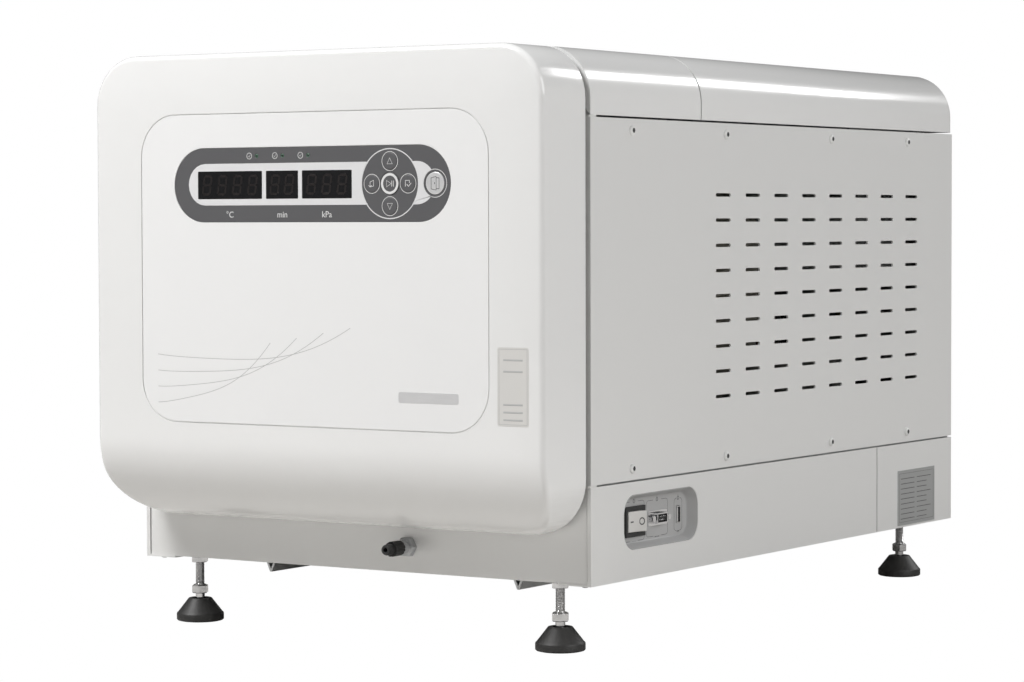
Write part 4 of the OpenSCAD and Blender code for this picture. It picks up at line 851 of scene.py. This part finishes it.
def drawCover(part, low, high, rearFillet, lip):
    # An arch drawn out along the cabinet, its underside open
    tall = high.z - low.z
    face = flatSheet(part, {"w": high.x - low.x, "h": tall, "r": coverShape["radius"], "low": 0,
        "steps": 20})
    pull(part, face, (0, 0, low.y - high.y))
    bmesh.ops.recalc_face_normals(part, faces=part.faces)
    part.faces.ensure_lookup_table()
    front = next(f for f in part.faces if all(abs(v.co.z) < 1e-4 for v in f.verts))
    rear = next(f for f in part.faces if all(abs(v.co.z - (low.y - high.y)) < 1e-4 for v in f.verts))
    under = next(f for f in part.faces if all(abs(v.co.y + tall / 2) < 1e-4 for v in f.verts))
    if rearFillet:
        rim = [e for e in rear.edges if e not in set(under.edges)]
        bmesh.ops.delete(part, geom=[under, front], context="FACES_ONLY")
        roundOff(part, rim, rearFillet, 6, False)
    else:
        bmesh.ops.inset_region(part, faces=[front], thickness=lip, depth=0, use_even_offset=True,
            use_boundary=True)
        bmesh.ops.delete(part, geom=[under, rear, front], context="FACES_ONLY")
        strays = [f for f in part.faces if f.calc_center_median().y < lip - tall / 2
            and all(abs(v.co.z) < 1e-4 and v.co.y < lip - tall / 2 + 0.1 for v in f.verts)]
        bmesh.ops.delete(part, geom=strays, context="FACES_ONLY")


def addCover(bm, low, high, rearFillet=0, lip=0):
    def draw(part):
        drawCover(part, low, high, rearFillet, lip)
        bmesh.ops.delete(part, geom=[v for v in part.verts if not v.link_faces], context="VERTS")
        bmesh.ops.delete(part, geom=[e for e in part.edges if not e.link_faces], context="EDGES")

    addShape(bm, facing("front", 0, low.y, (low.z + high.z) / 2), draw, closed=False)


bm = bmesh.new()
addCover(bm, coverLow, coverHigh, lip=coverShape["lip"])
thicken(finishPiece(bm, "frontCover", "cabinet", "white_plastic", "coverWhite", ["top_cover_front"], 30),
    coverShape["frontWall"])

lidSkinHigh = Vector((lidHigh.x, rearY + 2, lidHigh.z))
lidSkinLow = Vector((lidLow.x, lidLow.y, panelHigh.z + 1.6))
bm = bmesh.new()
addCover(bm, lidSkinLow, lidSkinHigh, rearFillet=coverShape["rearFillet"])
thicken(finishPiece(bm, "lidSkin", "lid", "white_plastic", "coverWhite", ["top_lid"], 30),
    coverShape["lidWall"])

hingeShape = {"xs": (-140, 140), "third": 7, "gap": 0.3, "axisY": rearY + 6.3, "barrel": 4, "leaf": 24}
bm = bmesh.new()
for x in hingeShape["xs"]:
    left, right = x - hingeShape["third"] + hingeShape["gap"], x + hingeShape["third"] - hingeShape["gap"]
    lidBase = panelHigh.z + 1.6
    block(bm, (left, rearY + 1.6, lidBase), (right, rearY + 4, panelHigh.z + hingeShape["leaf"]), 0.5)
    block(bm, (left, rearY + 2, lidBase), (right, hingeShape["axisY"], panelHigh.z + hingeShape["barrel"]),
        0.2)
    rod(bm, facing("right", right, hingeShape["axisY"], panelHigh.z), hingeShape["barrel"], right - left,
        0.3, 24)
    for up in (9, 18):
        lathe(bm, facing("back", x, rearY + 4, panelHigh.z + up), [(0, 1), (1.4, 0.8), (2.2, 0), (0, 0)],
            20)
finishPiece(bm, "lidHingeLeaves", "lid", "bright_steel")
print("covers done")

# Screws and nuts

screwShape = {
    "headRadius": 4, "headTall": 2.2, "socketRadius": 2.1, "socketDeep": 0.9,
    "edge": 9.5, "steps": (64.3, 221.8, 418.3, 575.8), "nutAcross": 13,
}
frontY = panelLow.y


def buttonHead(bm, place):
    r, h = screwShape["headRadius"], screwShape["headTall"]
    lathe(bm, place, [(2, h - 0.05), (2.5, h), (3.3, h - 0.45), (3.85, h - 1.2), (r, h - 1.9), (r, 0),
        (0, 0)], 28)


# A flat black hex set almost flush in the open top of the head: painted shade standing in for the hollow of
# the socket
def hexSocket(bm, place):
    radius, top = screwShape["socketRadius"], screwShape["headTall"]
    floor = top - screwShape["socketDeep"]
    lathe(bm, place, [(0, floor), (radius, floor), (radius + 0.05, top - 0.02), (0, top - 0.02)], 6)


bm = bmesh.new()
shadeDiscs = bmesh.new()
for side, sign in (("right", 1), ("left", -1)):
    for step in screwShape["steps"]:
        for z in (panelLow.z + screwShape["edge"], panelHigh.z - screwShape["edge"]):
            place = facing(side, sign * halfWidth, frontY + step, z)
            buttonHead(bm, place)
            hexSocket(shadeDiscs, place)
finishPiece(bm, "sideScrews", "cabinet", "white_paint", standsFor=["fasteners"])
# The black hexes are painted shade in the screw sockets
finishPiece(shadeDiscs, "screwSockets", "cabinet", "black_plastic")

bm = bmesh.new()
for foot in ("stud_front_left", "stud_front_right"):
    low, high = boxOf(foot)
    centre = ((low.x + high.x) / 2, (low.y + high.y) / 2)
    wide = screwShape["nutAcross"] / 2 / math.cos(math.pi / 6)
    lathe(bm, facing("up", *centre, baseLow.z), [(4.2, 0), (wide - 0.8, 0), (wide, -0.5), (wide, -4.5),
        (wide - 0.8, -5), (4.2, -5), (4.2, 0)], 6)
finishPiece(bm, "jamNuts", "cabinet", "bright_steel")

bm = bmesh.new()
wrapY = rearY - 163
for sign in (-1, 1):
    for y in (frontY + 10, frontY + 169, wrapY - 30, wrapY + 30, rearY - 66):
        lathe(bm, facing("down", sign * (halfWidth - 11.5), y, baseLow.z),
            [(0, 2), (1.6, 1.9), (3, 1.2), (3.5, 0.3), (3.5, 0), (0, 0)], 24)
finishPiece(bm, "flangeScrews", "cabinet", "bright_steel")
print("screws done")

# Feet

footShape = {
    "pad": 20.5, "socket": 5.05, "ballZ": 11,
    "stud": 4, "root": 3.45, "pitch": 1.25, "hexLow": 24, "hexTall": 7, "hexAcross": 13, "threadLow": 33,
}


def footPad(bm, at):
    shape = footShape
    bowl = [(shape["socket"] * math.cos(math.radians(a)),
        shape["ballZ"] + shape["socket"] * math.sin(math.radians(a))) for a in (22, 5, -15, -35, -55, -75)]
    lathe(bm, at, [(0, 0), (17.5, 0), (18.2, 0.5), (19.6, 0.5), (shape["pad"], 1.4), (shape["pad"], 6.2),
        (shape["pad"] - 0.3, 7), (shape["pad"] - 1.2, 7.8), (10.6, 19), (9.9, 19.8), (9, 20), (7.6, 20),
        (7, 19.6), (5.5, 13.6)] + bowl + [(0, shape["ballZ"] - shape["socket"])], 64)


def footStud(bm, at, top):
    shape = footShape
    ball = [(5 * math.cos(math.radians(a)), shape["ballZ"] + 5 * math.sin(math.radians(a)))
        for a in range(-90, 31, 15)]
    neck = [(shape["stud"], 14.2), (shape["stud"], shape["threadLow"] - 1)]
    thread = []
    z = shape["threadLow"]
    while z < top - 1.5:
        thread += [(shape["root"], z), (shape["stud"] - 0.05, z + shape["pitch"] / 2)]
        z += shape["pitch"]
    lathe(bm, at, [(0, shape["ballZ"] - 5)] + ball[1:] + neck + thread + [(shape["root"], top - 0.8),
        (2.8, top), (0, top)], 24)


def footHex(bm, at):
    shape = footShape
    wide = shape["hexAcross"] / 2 / math.cos(math.pi / 6)
    low, high = shape["hexLow"], shape["hexLow"] + shape["hexTall"]
    lathe(bm, at, [(3.8, low), (wide - 0.9, low), (wide, low + 0.6), (wide, high - 0.6), (wide - 0.9, high),
        (3.8, high)], 6)
    lathe(bm, at, [(3.8, high - 0.05), (5.9, high + 0.02), (5.4, high + 0.5), (3.8, high + 0.5)], 32)


for corner in ("front_left", "front_right", "rear_left", "rear_right"):
    low, high = boxOf("pad_" + corner)
    at = facing("up", (low.x + high.x) / 2, (low.y + high.y) / 2, 0)
    title = corner.title().replace("_", "")
    bm = bmesh.new()
    footPad(bm, at)
    finishPiece(bm, "pad" + title, "pad_" + corner, "black_plastic", "footRubber", ["pad_" + corner], 40)
    bm = bmesh.new()
    footStud(bm, at, boxOf("stud_" + corner)[1].z)
    footHex(bm, at)
    finishPiece(bm, "stud" + title, "stud_" + corner, "bright_steel", standsFor=["stud_" + corner],
        smoothBelow=25)
print("feet done")

# Connector recess
recessShape = {
    "wall": 1.4, "deep": 9, "draft": 3.5, "radius": 16, "line": 0.35,
    "switch": (-29.8, -0.9), "serial": (7.8, -0.9), "usb": (42.8, -0.9),
}
recessLow, recessHigh = boxOf("connector_recess")
recessMid = ((recessLow.y + recessHigh.y) / 2, (recessLow.z + recessHigh.z) / 2)
recessFloor = halfWidth - recessShape["deep"]


def recessAt(x):
    return facing("right", x, *recessMid)


def drawRecess(part):
    # Floor first, with its cut-outs, then the rounded foot of the wall and the drafted wall itself
    shape = recessShape
    wide, tall = recessHigh.y - recessLow.y - 0.6, recessHigh.z - recessLow.z - 0.6
    floorSize = {"w": wide - 2 * shape["draft"] - 2, "h": tall - 2 * shape["draft"] - 2,
        "r": shape["radius"] - 4.5, "steps": 12}
    holes = [
        {"x": shape["switch"][0], "y": shape["switch"][1], "w": 27.4, "h": 21.6},
        {"x": shape["serial"][0], "y": shape["serial"][1], "w": 18, "h": 9.6},
        {"x": shape["usb"][0], "y": shape["usb"][1], "w": 6.2, "h": 14.6},
    ]
    faces = flatSheet(part, floorSize, holes)
    edge = [e for e in part.edges if len(e.link_faces) == 1 and inRim(e, floorSize)
        and all(abs(v.co.x) > wide / 2 - 22 or abs(v.co.y) > tall / 2 - 6 for v in e.verts)]
    for spread, lift in ((0.7, 0.25), (0.6, 0.9), (shape["draft"] - 0.9, shape["deep"] - 1.15 - 0.6),
        (0.6, 0.6)):
        edge = spreadRim(part, edge, spread, lift)
    bmesh.ops.recalc_face_normals(part, faces=part.faces)
    if faces[0].normal.z < 0:
        bmesh.ops.reverse_faces(part, faces=part.faces)


def inRim(edge, size):
    # Whether an edge lies on the outline of the floor, and not on one of its cut-outs
    middle = (edge.verts[0].co + edge.verts[1].co) / 2
    dx, dy = abs(middle.x) - (size["w"] / 2 - size["r"]), abs(middle.y) - (size["h"] / 2 - size["r"])
    reach = math.hypot(max(dx, 0), max(dy, 0)) if dx > 0 and dy > 0 else max(dx, dy)
    return reach > size["r"] - 0.3


def spreadRim(part, edges, spread, lift):
    made = bmesh.ops.extrude_edge_only(part, edges=edges)["geom"]
    verts = [g for g in made if isinstance(g, bmesh.types.BMVert)]
    rim = [g for g in made if isinstance(g, bmesh.types.BMEdge) and len(g.link_faces) == 1]
    pushes = {}
    for v in verts:
        sides = [e for e in v.link_edges if e in set(rim)]
        push = Vector((0, 0, 0))
        for e in sides:
            along = (e.verts[1].co - e.verts[0].co).normalized()
            out = Vector((along.y, -along.x, 0))
            push += out if out.dot(v.co) > 0 else -out
        pushes[v] = push.normalized() * spread
    for v, push in pushes.items():
        v.co += push + Vector((0, 0, lift))
    return rim


bm = bmesh.new()
addShape(bm, recessAt(recessFloor), drawRecess, closed=False)
thicken(finishPiece(bm, "recessTray", "cabinet", "grey_plastic", "greyPlastic", ["connector_recess"], 50),
    recessShape["wall"], 50)


def gappedFrame(bm, place, x, y, w, h, r, gap, low=True, high=True):
    # A printed frame whose top and bottom lines stop either side of a small sign
    for s in (-1, 1):
        points = []
        if high:
            points += [(s * gap / 2, h / 2)]
        points += arcPoints(s * (w / 2 - r), h / 2 - r, r, 90, 90 - 90 * s, 6)
        points += arcPoints(s * (w / 2 - r), r - h / 2, r, 90 - 90 * s, 90 - 180 * s, 6)
        if low:
            points += [(s * gap / 2, -h / 2)]
        stroke(bm, place @ Matrix.Translation((x, y, 0)), points, recessShape["line"], proud=0.05)


bm = bmesh.new()
at = recessAt(recessFloor + 0.03)
gappedFrame(bm, at, recessShape["switch"][0], recessShape["switch"][1], 33.5, 32.5, 3, 13)
gappedFrame(bm, at, recessShape["serial"][0], recessShape["serial"][1], 35, 30, 3, 13)
gappedFrame(bm, at, recessShape["usb"][0], recessShape["usb"][1], 13, 27, 3, 6)
for key, width in (("switch", 7), ("serial", 8), ("usb", 4)):
    x, y = recessShape[key]
    top = {"switch": 16.2, "serial": 15, "usb": 13.5}[key]
    ring(bm, at, x, y + top + 0.3, 1.7, 0.35, 0.05, 20)
    stroke(bm, at, [(x, y + top - 1.4), (x, y + top + 3.2)], 0.4, proud=0.05)
    for i in range(-1, 2):
        stroke(bm, at, [(x + i * width / 3 - 0.8, y - top - 0.6), (x + i * width / 3 + 0.8, y - top - 0.6)],
            0.7, proud=0.05)
finishPiece(bm, "recessPrint", "cabinet", "grey_plastic", "printDark")

# Dark moulding and contacts of the nine-pin port, and the tongue of the small upright one
portShape = {"core": (14.6, 6.4), "back": 1.6, "pinRadius": 0.45, "pinPitch": 2.4, "pinLength": 3.6}
bm = bmesh.new()
pins = bmesh.new()
serialAt = recessAt(recessFloor + 4.6) @ Matrix.Translation((*recessShape["serial"], 0))
slab(bm, serialAt @ Matrix.Translation((0, 0, -portShape["back"])),
    {"w": portShape["core"][0], "h": portShape["core"][1], "r": 0.6, "steps": 3}, [], 3, 0.2)
for row, count in ((1.4, 5), (-1.4, 4)):
    for i in range(count):
        across = (i - (count - 1) / 2) * portShape["pinPitch"]
        rod(pins, serialAt @ Matrix.Translation((across, row, 0.3)), portShape["pinRadius"],
            portShape["pinLength"], 0.2, 10)
usbAt = recessAt(recessFloor - 0.6) @ Matrix.Translation((*recessShape["usb"], 0))
slab(bm, usbAt, {"w": 3.6, "h": 11.6, "r": 0.3, "steps": 2}, [], 2, 0.2)
finishPiece(bm, "portCores", "cabinet", "black_plastic")
finishPiece(pins, "portPins", "cabinet", "bright_steel")

# Drain tap: plated nut and collar, and the black spout that a hose pushes on to
tapShape = {"across": 15, "nut": (-321.4, -315.4), "collar": 5.6, "knobBack": -328.4, "stem": 3.2,
    "spout": 4.5, "spoutFrom": -349, "spoutTo": -341, "bore": 2, "x": 50, "z": 79}
tapAt = facing("front", tapShape["x"], tapShape["nut"][1], tapShape["z"])
nutTall = tapShape["nut"][1] - tapShape["nut"][0]
collarEnd = tapShape["nut"][1] - tapShape["knobBack"]
spoutLow, spoutHigh = (tapShape["nut"][1] - tapShape[k] for k in ("spoutTo", "spoutFrom"))
wide = tapShape["across"] / 2 / math.cos(math.pi / 6)
bm = bmesh.new()
lathe(bm, tapAt, [(3, 0), (wide, 0), (wide, nutTall - 1), (wide - 1.1, nutTall), (3, nutTall)], 6)
lathe(bm, tapAt, [(3, nutTall - 0.5), (tapShape["collar"], nutTall - 0.5),
    (tapShape["collar"], nutTall + 2.6), (tapShape["collar"] - 0.5, nutTall + 2.9),
    (tapShape["collar"] - 0.5, nutTall + 3.3), (tapShape["collar"], nutTall + 3.6),
    (tapShape["collar"], collarEnd - 0.4), (tapShape["collar"] - 0.4, collarEnd), (3, collarEnd)], 40)
lathe(bm, tapAt, [(2.4, -24), (5, -24), (5, -0.5), (3, 0.5)], 32)
finishPiece(bm, "drainBody", "cabinet", "bright_steel", "castMetal", ["drain_valve"])
bm = bmesh.new()
lathe(bm, tapAt, [(tapShape["bore"], collarEnd - 1), (tapShape["stem"], collarEnd - 1),
    (tapShape["stem"], spoutLow - 1), (tapShape["stem"], spoutLow), (tapShape["spout"] - 0.5, spoutLow),
    (tapShape["spout"], spoutLow + 0.5), (tapShape["spout"], spoutHigh - 1.6),
    (tapShape["spout"] - 0.8, spoutHigh), (tapShape["bore"] + 0.3, spoutHigh),
    (tapShape["bore"], spoutHigh - 0.4), (tapShape["bore"], collarEnd - 1)], 40)
finishPiece(bm, "drainSpout", "cabinet", "black_plastic")

# Power rocker
rockerShape = {"width": 17, "half": 11.8, "tilt": 9, "pivotBack": 4, "rim": 0.8}


def drawRocker(part):
    # Side view in X (outwards) and Y, pulled up along Z
    shape = rockerShape
    face = shape["pivotBack"] + 4
    outline = [(-3, -3), (-3, 3), (face - 4.5, shape["half"]), (face + 1, shape["half"])]
    outline += [(face + 1 - 1.6 * (1 - (i / 6) ** 2), i * shape["half"] / 6) for i in range(5, -6, -1)]
    outline += [(face + 1, -shape["half"]), (face - 4.5, -shape["half"])]
    face = part.faces.new([part.verts.new((x, y, 0)) for x, y in outline])
    pull(part, [face], (0, 0, shape["width"]))
    bmesh.ops.recalc_face_normals(part, faces=part.faces)
    sharp = [e for e in part.edges if len(e.link_faces) == 2 and e.calc_face_angle() > math.radians(35)]
    roundOff(part, sharp, shape["rim"], 3)


rockerLow, rockerHigh = boxOf("rocker")
switchY = recessMid[0] + recessShape["switch"][0]
pivotX = recessFloor - rockerShape["pivotBack"]
rockerPlace = Matrix.Translation((pivotX, switchY, (rockerLow.z + rockerHigh.z) / 2))
rockerPlace = rockerPlace @ Matrix.Rotation(-math.radians(rockerShape["tilt"]), 4, "Z")
bm = bmesh.new()
addShape(bm, rockerPlace @ Matrix.Translation((0, 0, -rockerShape["width"] / 2)), drawRocker)
for s in (-1, 1):
    turn = Matrix.Rotation(0 if s > 0 else math.pi, 4, "X")
    lathe(bm, rockerPlace @ turn, [(0, rockerShape["width"] / 2 + 1.5),
        (1.2, rockerShape["width"] / 2 + 1.5), (1.5, rockerShape["width"] / 2 + 1.2),
        (1.5, rockerShape["width"] / 2 - 1), (0, rockerShape["width"] / 2 - 1)], 20)
finishPiece(bm, "rockerKey", "rocker", "white_plastic", "rockerWhite", ["rocker"], 30)

bm = bmesh.new()
rockerFace = rockerPlace @ Matrix(sideTurns["right"]).transposed().to_4x4()
lean = math.atan(1.6 / rockerShape["half"])
for s in (-1, 1):
    outward = rockerShape["pivotBack"] + 5 - 1.6 * (1 - 0.55 ** 2) + 0.04
    place = rockerFace @ Matrix.Translation((s * 6.4, 0, outward))
    place = place @ Matrix.Rotation(-s * lean * 1.1, 4, "Y")
    if s > 0:
        ring(bm, place, 0, 0, 3.2, 1, 0.06, 32)
    else:
        stroke(bm, place, [(-2.2, 0), (2.2, 0)], 1.2, proud=0.08)
finishPiece(bm, "rockerMarks", "rocker", "black_plastic", "printDark")
print("recess done")

# Rating plate: blank, with ruled lines and boxes
plateShape = {"line": 0.35, "bar": 0.6, "rows": 9, "inset": 3}
plateLow, plateHigh = boxOf("rating_plate")
plateAt = facing("right", plateHigh.x + 0.01, (plateLow.y + plateHigh.y) / 2,
    (plateLow.z + plateHigh.z) / 2)
bm = bmesh.new()
plateHalf = [(plateHigh[i] - plateLow[i]) / 2 - plateShape["inset"] for i in (1, 2)]
stroke(bm, plateAt, frameCorners(*plateHalf), plateShape["line"], closed=True, proud=0.04)
for row in range(plateShape["rows"]):
    z = plateHalf[1] - 5 - row * (2 * plateHalf[1] - 8) / (plateShape["rows"] - 1)
    for left, right in ((-0.92, -0.12), (0.02, 0.6 if row % 3 else 0.85)):
        stroke(bm, plateAt, [(left * plateHalf[0], z), (right * plateHalf[0], z)], plateShape["bar"],
            proud=0.04)
finishPiece(bm, "ratingLines", "cabinet", "plate_metal", "printDark")

for entry in frame["record"]["materials"]:
    for node in entry.get("nodes", []):
        carried = nodes[node].data.materials
        carried.clear()
        carried.append(finishes[slotFinish(entry["slot"])])
print("carried nodes finished")

# Floor, lights and camera
studio = {
    "floorTone": (0.60, 0.585, 0.56), "world": 0.10,
    "camera": (1.51876, -2.43936, 0.35019), "yaw": 32.757, "pitch": -2.252, "roll": -0.155, "lens": 110.2,
}


def whiteToCamera(tree, kind, lit, output):
    # The camera sees plain white where the light sees the real surface
    path = tree.nodes.new("ShaderNodeLightPath")
    seen = tree.nodes.new(kind)
    seen.inputs["Color"].default_value = (1, 1, 1, 1)
    seen.inputs["Strength"].default_value = 1.0
    blend = tree.nodes.new("ShaderNodeMixShader")
    for i, source in enumerate((path.outputs["Is Camera Ray"], lit, seen.outputs[0])):
        wire(tree, source, blend.inputs[i])
    wire(tree, blend.outputs["Shader"], tree.nodes[output].inputs["Surface"])


def addFloor():
    bm = bmesh.new()
    bmesh.ops.create_grid(bm, x_segments=1, y_segments=1, size=6)
    mesh = bpy.data.meshes.new("studioFloor")
    bm.to_mesh(mesh)
    bm.free()
    floor = bpy.data.objects.new("studioFloor", mesh)
    scene.collection.objects.link(floor)
    material = bpy.data.materials.new("studioFloor")
    material.use_nodes = True
    shader = material.node_tree.nodes["Principled BSDF"]
    shader.inputs["Base Color"].default_value = (*studio["floorTone"], 1)
    shader.inputs["Roughness"].default_value = 0.9
    whiteToCamera(material.node_tree, "ShaderNodeEmission", shader.outputs["BSDF"], "Material Output")
    mesh.materials.append(material)


def addWorld():
    world = bpy.data.worlds.new("studio")
    scene.world = world
    world.use_nodes = True
    back = world.node_tree.nodes["Background"]
    back.inputs["Color"].default_value = (1, 1, 1, 1)
    back.inputs["Strength"].default_value = studio["world"]
    whiteToCamera(world.node_tree, "ShaderNodeBackground", back.outputs["Background"], "World Output")


def addSoftbox(name, place, target, size, power):
    data = bpy.data.lights.new(name, "AREA")
    data.shape = "RECTANGLE"
    data.size, data.size_y = size
    data.energy = power
    lamp = bpy.data.objects.new(name, data)
    scene.collection.objects.link(lamp)
    lamp.location = place
    aim = Vector(target) - Vector(place)
    lamp.rotation_euler = aim.to_track_quat("-Z", "Y").to_euler()
    return lamp


def addCamera():
    data = bpy.data.cameras.new("camera")
    data.lens = studio["lens"]
    data.sensor_width = 36
    camera = bpy.data.objects.new("camera", data)
    scene.collection.objects.link(camera)
    yaw, pitch, roll = (math.radians(studio[k]) for k in ("yaw", "pitch", "roll"))
    forward = Vector((-math.sin(yaw) * math.cos(pitch), math.cos(yaw) * math.cos(pitch), math.sin(pitch)))
    right = Vector((math.cos(yaw), math.sin(yaw), 0))
    up = right.cross(forward)
    across = right * math.cos(roll) + up * math.sin(roll)
    upright = up * math.cos(roll) - right * math.sin(roll)
    turn = Matrix((across, upright, -forward)).transposed().to_4x4()
    camera.matrix_world = Matrix.Translation(studio["camera"]) @ turn
    scene.camera = camera


addFloor()
addWorld()
addSoftbox("keyBox", (-1.1, -1.85, 2.6), (0, -0.35, 0.35), (1.2, 0.9), 103)
addSoftbox("sideFill", (2.6, -0.3, 1.3), (0.2, 0, 0.3), (1.8, 1.2), 33)
addSoftbox("backStrip", (1.137, 2.97, 1.769), (0.223, 2.97, 0.463), (2.5, 0.5), 34)
addCamera()
scene.view_settings.view_transform = "Standard"
print("studio done")
